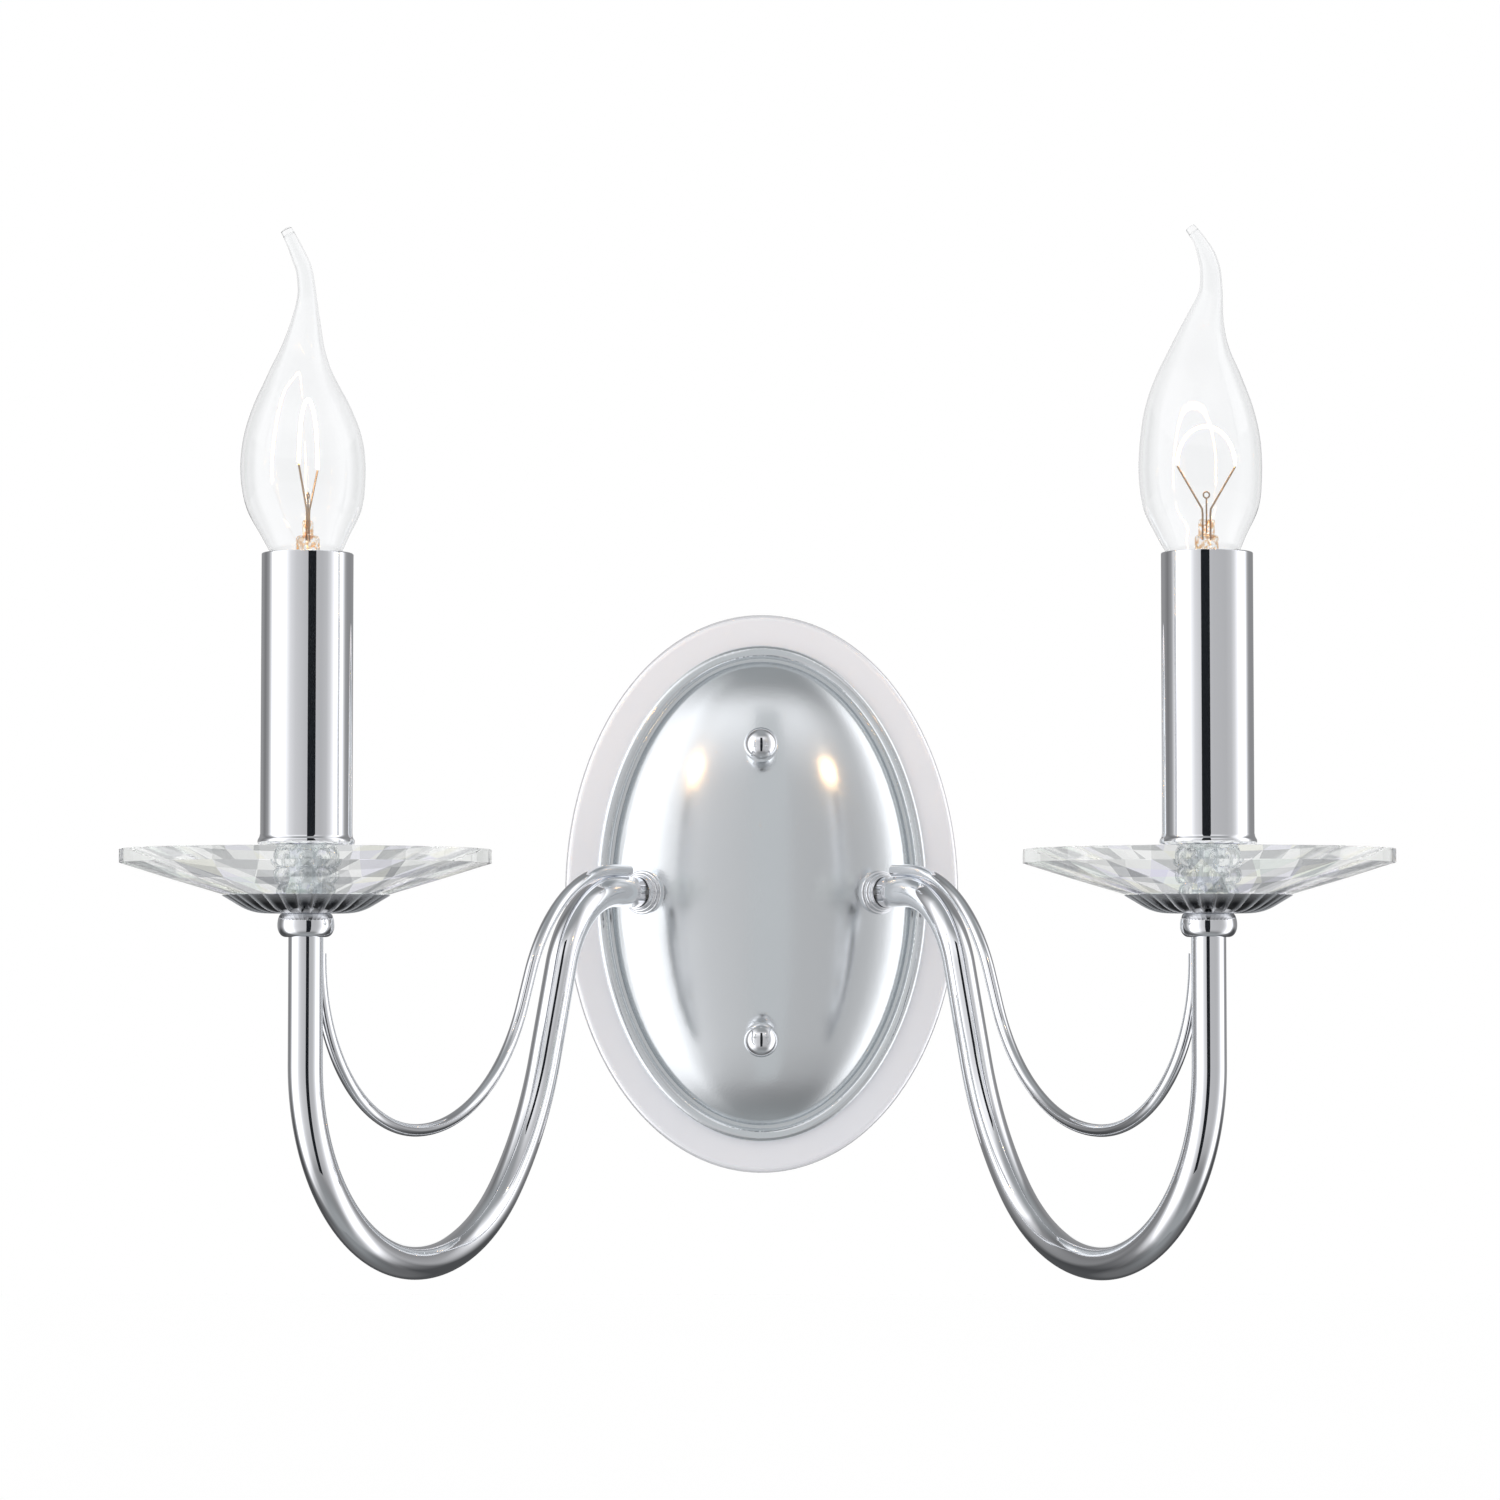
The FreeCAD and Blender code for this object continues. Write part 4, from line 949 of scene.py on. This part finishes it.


# Painted reflections: pale, grey and faintly tinted tones for the facets below the dish, in place of
# what the crystal shows of the room
PAINTED_FACET_REFLECTIONS = ((1.0, 1.0, 1.0), (0.44, 0.45, 0.46), (0.97, 0.98, 0.97), (0.82, 0.81, 0.94),
               (0.36, 0.37, 0.38), (1.0, 1.0, 1.0), (0.58, 0.59, 0.61), (0.98, 0.97, 0.85),
               (0.99, 0.99, 0.99), (0.42, 0.43, 0.45), (0.86, 0.93, 0.89))


def store_facet_tones(mesh, size, centre):
    """Stores a painted reflection on each facet of a dish as a tone: pale, grey or faintly tinted
    ones beside each other below, and two pale ones to each grey one round the band."""
    row_width = 0.006
    painted_reflections = mesh.attributes.new("tone", "FLOAT_COLOR", "CORNER").data
    for face in mesh.polygons:
        place = face.center - centre
        radius = math.hypot(place.x, place.y)
        turn = math.degrees(math.atan2(place.y, place.x))
        column = math.floor(turn / 360 * size.dish_facets * 2)
        tone = (1.0, 1.0, 1.0)
        # Below the dish and round the band the facets get painted reflections
        if face.normal.z < -0.5:
            tone = PAINTED_FACET_REFLECTIONS[(column * 5 + round(radius / row_width) * 4) % len(PAINTED_FACET_REFLECTIONS)]
        elif abs(face.normal.z) < 0.3 and radius > size.dish_well_radius:
            tone = (0.84, 0.85, 0.84) if column % 6 < 4 else (0.64, 0.65, 0.64)
        for loop in face.loop_indices:
            painted_reflections[loop].color = (*tone, 1)


def spool_sector(size, low, high):
    """One flute of the spool's three tiers. The middle tier's flutes stand between the others'."""
    pitch = FULL_TURN / size.spool_flutes
    tiers = ((0.0, 0.36, size.spool_low_radius, 0.0), (0.36, 0.68, size.spool_middle_radius, 0.5),
             (0.68, 1.0, size.spool_radius, 0.0))
    fullness, neck_depth, crown_depth = 0.55, 0.0014, 0.0008
    across = shares(16)
    rows = []
    for start, end, radius, lean in tiers:
        for share in shares(14):
            swell = math.sin(math.pi * share) ** fullness
            neck = radius - neck_depth
            if start == 0 and share < 0.5:
                neck = size.spool_foot_radius
            if end == 1 and share > 0.5:
                neck = radius - crown_depth
            reach = neck + (radius - neck) * swell
            depth = size.spool_flute_depth * swell
            height = low + (high - low) * (start + (end - start) * share)
            waves = [abs(math.cos(math.pi * (step + lean))) for step in across]
            rows.append([(reach - depth * (1 - wave) ** 2, height, pitch * step)
                         for step, wave in zip(across, waves)])
    top, foot = [[(size.bore_radius, height, pitch * step) for step in across]
                 for height in (high, low)]
    return sheet([foot] + rows + [top, foot])


class SCONCE_OT_crystal(bpy.types.Operator):
    """Cut the crystal dishes and their fluted spools"""
    bl_idname = "sconce.crystal"
    bl_label = "Crystal"

    def execute(self, context):
        size = context.scene.sconce_crystal
        for side in SIDES:
            centre = cup_centre(side)
            sector = dish_sector(size, *heights(side + "_crystal_dish"))
            mesh = repeated(sector, size.dish_facets, centre, "dish_crystal")
            store_facet_tones(mesh, size, centre)
            add_piece(side, "cut_dish", "crystal_dish", mesh, "crystal", sharp=4)
            sector = spool_sector(size, *heights(side + "_crystal_spool"))
            mesh = repeated(sector, size.spool_flutes, centre, "crystal")
            add_piece(side, "cut_spool", "crystal_spool", mesh, "crystal", sharp=30)
        return {"FINISHED"}


# Lamps

def smooth_run(stops, place):
    """Value of a smooth curve through stops, each a place and a vector, at a place between them."""
    last = len(stops) - 1
    index = max(k for k in range(last) if stops[k][0] <= place or k == 0)
    before, start, end, after = [stops[min(max(k, 0), last)] for k in range(index - 1, index + 3)]
    width = end[0] - start[0]
    leave = (end[1] - before[1]) / (end[0] - before[0])
    arrive = (after[1] - start[1]) / (after[0] - start[0])
    part = (place - start[0]) / width
    square, cube = part ** 2, part ** 3
    return ((2 * cube - 3 * square + 1) * start[1] + (cube - 2 * square + part) * width * leave
            + (3 * square - 2 * cube) * end[1] + (cube - square) * width * arrive)


def glass_rings(size, sections, rim, inset, last_share):
    """Rings of one face of a lamp's glass, from the foot up to its rounded end."""
    stops = [(rim + size.neck_length, size.neck_radius, 0.0)]
    stops += [(rim + rise * MM, radius * MM, sway * MM) for rise, radius, sway in sections]
    table = []
    for height, radius, sway in stops:
        here = Vector((sway, height, radius))
        table.append((table[-1][0] + (here - table[-1][1]).xy.length if table else 0.0, here))
    total = table[-1][0]
    shoulder = table[6][0]
    near, upright_radius, leaning_radius = 0.0005, 0.012, 0.006
    full_wall_radius, thinnest = 0.009, 0.35
    rings = [(Vector((0, 0, rim - size.glass_sink)), UP, size.neck_radius - inset)]
    for share in shares(110):
        place = total * last_share * share
        here = smooth_run(table, place)
        ahead = (smooth_run(table, min(place + near, total))
                 - smooth_run(table, max(place - near, 0.0)))
        heading = Vector((ahead.x, 0, ahead.y)).normalized()
        # Above the shoulder the rings lean with the tip as it gets thin, and the wall thins
        lean = (upright_radius - here.z) / (upright_radius - leaning_radius)
        lean = min(1.0, max(0.0, lean)) if place > shoulder else 0.0
        wall = inset * min(1.0, thinnest + (1 - thinnest) * here.z / full_wall_radius)
        rings.append((Vector((here.x, 0, here.y)), UP.lerp(heading, lean).normalized(),
                      here.z - wall))
    centre, heading, radius = rings[-1]
    tip_length, fullness = 0.3, 0.6
    for share in shares(8)[1:]:
        turn = math.pi / 2 * share
        rings.append((centre + heading * radius * tip_length * math.sin(turn), heading,
                      radius * math.cos(turn) ** fullness))
    return rings


def flame_glass(size, sections, rim, centre):
    """Blown glass of one lamp: an outer and an inner face joined at the foot. The tip is solid."""
    outer = glass_rings(size, sections, rim, 0, 1.0)
    inner = glass_rings(size, sections, rim, size.glass_wall, 0.985)
    return ringed([(centre + place, heading, radius)
                   for place, heading, radius in inner[::-1] + outer], 96)


def glass_stem(size, low, centre, spin):
    """Flared glass tube with a flat press at its top."""
    play, foot_height = 0.00004, 0.0008
    top = low + size.stem_height
    flare = size.neck_radius - size.glass_wall - play
    hollow = low + foot_height
    outline = [(0, hollow), (flare - 0.0006, hollow), (flare - 0.0004, low), (flare, low),
               (size.stem_radius, low + 0.005, 0.003), (size.stem_radius, top, 0.001), (0, top)]
    sink, bevel = 0.001, 0.0007
    press = bmesh.new()
    bmesh.ops.create_cube(press, size=1.0)
    bmesh.ops.scale(press, verts=press.verts,
                    vec=(size.press_width, size.press_gauge, size.press_height + sink))
    bmesh.ops.bevel(press, geom=press.edges, offset=bevel, segments=4, affect="EDGES", profile=0.5)
    place = Matrix.Translation(centre + UP * (top + (size.press_height - sink) / 2))
    press.transform(place @ Matrix.Rotation(math.radians(spin), 4, "Z"))
    block = plain_mesh([], [])
    press.to_mesh(block)
    press.free()
    return closed(turned(rounded(outline), centre, 64), block)


def spun(points, degrees, centre):
    turn = Matrix.Rotation(math.radians(degrees), 3, "Z")
    return [centre + turn @ Vector(p) for p in points]


def support_wires(size, low, high, centre, spin):
    """Two wires from the press to the filament's ends, and a finer one that ends in a loop."""
    root, loop_share, loop_height = size.press_width / 4, 0.8, 0.007
    runs = [[(root * hand, 0, low - 0.006), (root * hand, 0, low + 0.0015),
             (root * 1.1 * hand, 0, low + 0.003), (size.wire_spread * hand, 0, high)]
            for hand in (-1, 1)]
    loop = [Vector((0, 0, low - 0.004)), Vector((0, 0, low + loop_height - 0.001))]
    for share in shares(16):
        turn = FULL_TURN * (share - 0.25)
        off = Vector((math.cos(turn), 0, math.sin(turn))) * size.loop_radius
        loop.append(UP * (low + loop_height) + off)
    gauges = (size.wire_radius, size.wire_radius, size.wire_radius * loop_share)
    return closed(*[bar(spun(run, spin, centre), gauge, 12, "lamp_wire")
                    for run, gauge in zip(runs + [loop], gauges)])


def filament(size, low, arch, centre, spin):
    """Coil along an upright half oval."""
    level = low + size.coil_radius
    path = []
    for share in shares(48):
        turn = math.pi * share
        path.append(Vector((-size.wire_spread * math.cos(turn), 0, level + arch * math.sin(turn))))
    run = sum((b - a).length for a, b in zip(path, path[1:]))
    return grown(path_mesh(spun(path, spin, centre)), coil_round_a_path, "filament", {
        "Turns": round(run / size.coil_pitch), "Steps per turn": 10,
        "Coil radius": size.coil_radius - size.coil_wire_radius,
        "Wire radius": size.coil_wire_radius})


class SCONCE_OT_lamps(bpy.types.Operator):
    """Blow the lamps' glass, and make the stems, wires and glowing filaments inside"""
    bl_idname = "sconce.lamps"
    bl_label = "Lamps"

    def execute(self, context):
        size = context.scene.sconce_lamps
        for side in SIDES:
            shape, body, centre = LAMP_SHAPES[side], side + "_lamp_bulb", cup_centre(side)
            spin = shape["spin"]
            rim = heights(side + "_lamp_glass")[0] + size.glass_sink
            mesh = flame_glass(size, shape["glass"], rim, centre)
            add_piece(side, "flame_glass", "lamp_glass", mesh, "lamp_glass", body, 50)
            mesh = glass_stem(size, heights(side + "_lamp_stem")[0], centre, spin)
            mesh.materials.append(finishes["stem_glass"])
            add_piece(side, "pressed_stem", "lamp_stem", mesh, "lamp_glass", body)
            mesh = support_wires(size, *heights(side + "_lamp_wires"), centre, spin)
            add_piece(side, "support_wires", "lamp_wires", mesh, "lamp_wire", body, 60)
            low = heights(side + "_lamp_filament")[0]
            mesh = filament(size, low, shape["arch"] * MM, centre, spin)
            add_piece(side, "coiled_filament", "lamp_filament", mesh, "filament", body, 60)
        return {"FINISHED"}


# The stage

ROUND, HALF_ROUND, UPRIGHT = (-180, 180), (0, 180), (-90, 90)


def ramp(tree, source, span, stops):
    """Grey level that follows a value through stops, each a place and a level, in a span."""
    low, high = span
    cool = 1.01
    spread = first_output(tree, "MapRange", {"Value": source, "From Min": low, "From Max": high})
    node = add(tree, "ValToRGB", {"Fac": spread})
    elements = node.color_ramp.elements
    while len(elements) < len(stops):
        elements.new(0.5)
    for element, (place, level) in zip(elements, stops):
        element.position = (place - low) / (high - low)
        element.color = (level, level, level * cool, 1)
    return node.outputs["Color"]


def studio_world():
    """Plain white light. Polished metal and glass see a grey studio with two white walls, and the
    white backdrop behind the object."""
    world = bpy.data.worlds.new("Studio")
    bpy.context.scene.world = world
    world.use_nodes = True
    tree = world.node_tree
    tree.nodes.clear()
    place = add(tree, "TexCoord").outputs["Generated"]
    axes = add(tree, "SeparateXYZ", {"Vector": place}).outputs
    # Degrees from the room side, positive to the right: 0 looks into the room, 180 at the wall
    azimuth = maths(tree, "DEGREES", maths(tree, "ARCTAN2", axes["X"], times(tree, axes["Y"], -1)))
    height = maths(tree, "DEGREES", maths(tree, "ARCSINE", axes["Z"]))
    side = maths(tree, "ABSOLUTE", azimuth)
    walls = ramp(tree, azimuth, ROUND, [
        (-165, 0.30), (-140, 0.30), (-122, 0.20), (-106, 0.33), (-96, 0.80), (-90, 1.4),
        (-54, 1.4), (-44, 1.0), (-36, 0.76), (-22, 0.62), (-4, 0.55), (10, 0.50), (42, 0.48),
        (56, 0.54), (66, 0.72), (76, 1.1), (82, 1.4), (103, 1.4), (110, 0.75), (117, 0.36),
        (126, 0.28), (145, 0.27), (165, 0.30)])
    level = ramp(tree, height, UPRIGHT, [
        (-90, 0.28), (-76, 0.26), (-64, 0.36), (-52, 0.54), (-42, 0.86), (-30, 1.02), (0, 1.0),
        (24, 1.0), (38, 0.90), (55, 0.66), (72, 0.50), (90, 0.50)])
    # A soft patch of light high on the room's side
    high = ramp(tree, height, UPRIGHT, [(22, 0.0), (38, 0.42), (46, 0.42), (60, 0.0)])
    ahead = ramp(tree, side, HALF_ROUND, [(0, 1.0), (25, 1.0), (60, 0.0)])
    room = blended(tree, 1.0, tinted(tree, walls, level), tinted(tree, high, ahead), "ADD")
    # Straight overhead and underfoot the room is evenly grey
    steep = ramp(tree, height, UPRIGHT, [(-76, 1.0), (-48, 0.0), (44, 0.0), (74, 1.0)])
    room = blended(tree, steep, room, (0.33, 0.345, 0.355))
    # The low part of the room behind the object is dark
    behind = ramp(tree, side, HALF_ROUND, [(98, 0.0), (124, 0.85), (180, 0.85)])
    below = ramp(tree, height, UPRIGHT, [(-50, 0.3), (-34, 1.0), (-15, 1.0), (-4, 0.0)])
    room = blended(tree, tinted(tree, behind, below), room, (0.04, 0.042, 0.045))
    # Glass gathers light from all round, so it sees less contrast in the room than metal does
    rays = add(tree, "LightPath").outputs
    glassy = rays["Is Transmission Ray"]
    room = blended(tree, times(tree, glassy, 0.62), room, (0.58, 0.6, 0.59))
    # The white backdrop is a low block behind the object, in degrees from its middle. Glass sees
    # more of it than metal does
    middle_height, metal_half, glass_half = 7.0, (8.0, 6.5), (40.0, 20.5)
    half_width, half_height = [plus(tree, times(tree, glassy, wide - narrow), narrow)
                               for narrow, wide in zip(metal_half, glass_half)]
    across = ratio(tree, minus(tree, 180.0, side), half_width)
    off = maths(tree, "ABSOLUTE", minus(tree, height, middle_height))
    reach = larger(tree, across, ratio(tree, off, half_height))
    backdrop = ramp(tree, reach, (0, 10), [(0, 1.0), (1.0, 1.0), (1.4, 0.0)])
    # Glass is clear against the light overhead
    overhead = times(tree, ramp(tree, height, UPRIGHT, [(22, 0.0), (40, 1.0)]), glassy)
    seen = blended(tree, larger(tree, backdrop, overhead), room, (1, 1, 1))
    bent = larger(tree, rays["Is Glossy Ray"], glassy)
    choice = {0: bent, 1: first_output(tree, "Background", {"Color": (1, 1, 1)}),
              2: first_output(tree, "Background", {"Color": seen})}
    add(tree, "OutputWorld", {"Surface": first_output(tree, "MixShader", choice)})


def flat_card(name, corners, material):
    mesh = plain_mesh(corners, [(0, 1, 2, 3)])
    mesh.materials.append(material)
    card = bpy.data.objects.new(name, mesh)
    bpy.context.scene.collection.objects.link(card)
    return card


def gap_card():
    """The gap beside the camera. Bright chrome shows it as a dark stripe. The canopy, which shows
    the room behind the gap, is lit by it."""
    material = new_material("Gap card", {
        "Base Color": (0.015, 0.017, 0.02), "Roughness": 1.0, "Specular IOR Level": 0.0,
        "Emission Color": (0.96, 0.98, 1.0), "Emission Strength": 0.56})[0]
    left, right, half_height, depth = -0.057, 0.141, 0.7, -0.69
    card = flat_card("gap_card", [(left, depth, -half_height), (right, depth, -half_height),
                                  (right, depth, half_height), (left, depth, half_height)],
                     material)
    for ray in ("camera", "diffuse", "transmission", "shadow", "volume_scatter"):
        setattr(card, "visible_" + ray, False)
    lit = bpy.data.collections.new("Lit by the gap card")
    names = ["canopy_dome", "back_plate"] + [
        side + piece for piece in ("_cut_dish", "_cut_spool", "_flame_glass", "_pressed_stem")
        for side in SIDES]
    for name in names:
        lit.objects.link(bpy.data.objects[name])
    card.light_linking.receiver_collection = lit


def floor():
    """Pale floor below the object, which shows its shadow and is clear from below."""
    tint = tuple(bpy.context.scene.sconce_colours.floor)
    material, tree, shader = new_material("Pale floor", {
        "Roughness": 1.0, "Specular IOR Level": 0.0})
    mottle = placed(tree, surface_ripple, {"Ripple size": 0.4, "Grain size": 0.003})["Mottle"]
    feed(tree, shader.inputs, {"Base Color": blended(tree, mottle, tint, scaled(tint, 0.995))})
    let_through(tree, shader, add(tree, "NewGeometry").outputs["Backfacing"])
    half, level = 6.0, -0.6
    card = flat_card("floor", [(-half, -half, level), (half, -half, level), (half, half, level),
                               (-half, half, level)], material)
    card.visible_glossy = False


def camera():
    """Camera at the photograph's angle, with the image taken to be 1500 pixels square."""
    image, focal, down, left = 1500, 4290, 207, 45
    data = bpy.data.cameras.new("Camera")
    data.sensor_width = 36.0
    data.lens = focal / image * data.sensor_width
    data.clip_end = 20.0
    made = bpy.data.objects.new("Camera", data)
    made.location = (0.01095, -1.4083, -0.0209)
    made.rotation_euler = (math.pi / 2 + math.atan(down / focal), 0, math.atan(left / focal))
    bpy.context.scene.collection.objects.link(made)
    bpy.context.scene.camera = made


class SCONCE_OT_stage(bpy.types.Operator):
    """Set up the studio, the floor and the camera"""
    bl_idname = "sconce.stage"
    bl_label = "Stage"

    def execute(self, context):
        for build in (studio_world, gap_card, floor, camera):
            build()
        context.scene.view_settings.view_transform = "Standard"
        for limit in ("max_bounces", "transmission_bounces", "glossy_bounces"):
            setattr(context.scene.cycles, limit, 32)
        return {"FINISHED"}


# Registration

OPERATORS = (SCONCE_OT_finishes, SCONCE_OT_fittings, SCONCE_OT_arms, SCONCE_OT_cups,
             SCONCE_OT_crystal, SCONCE_OT_lamps, SCONCE_OT_stage)


class SCONCE_PT_panel(bpy.types.Panel):
    """Steps and sizes of the wall sconce"""
    bl_idname = "SCONCE_PT_panel"
    bl_label = "Wall sconce"
    bl_space_type = "VIEW_3D"
    bl_region_type = "UI"
    bl_category = "Sconce"

    def draw(self, context):
        for step in OPERATORS:
            self.layout.operator(step.bl_idname)
        for name, group in SETTINGS.items():
            box = self.layout.box()
            box.label(text=group.__name__.replace("Sconce", ""))
            for field in group.__annotations__:
                box.prop(getattr(context.scene, name), field)


def register():
    for name, group in SETTINGS.items():
        bpy.utils.register_class(group)
        setattr(bpy.types.Scene, name, bpy.props.PointerProperty(type=group))
    for each in (*OPERATORS, SCONCE_PT_panel):
        bpy.utils.register_class(each)


def unregister():
    for each in reversed((*OPERATORS, SCONCE_PT_panel)):
        bpy.utils.unregister_class(each)
    for name, group in reversed(SETTINGS.items()):
        delattr(bpy.types.Scene, name)
        bpy.utils.unregister_class(group)


def main():
    register()
    for step in OPERATORS:
        area, name = step.bl_idname.split(".")
        getattr(getattr(bpy.ops, area), name)()


if __name__ == "__main__":
    main()
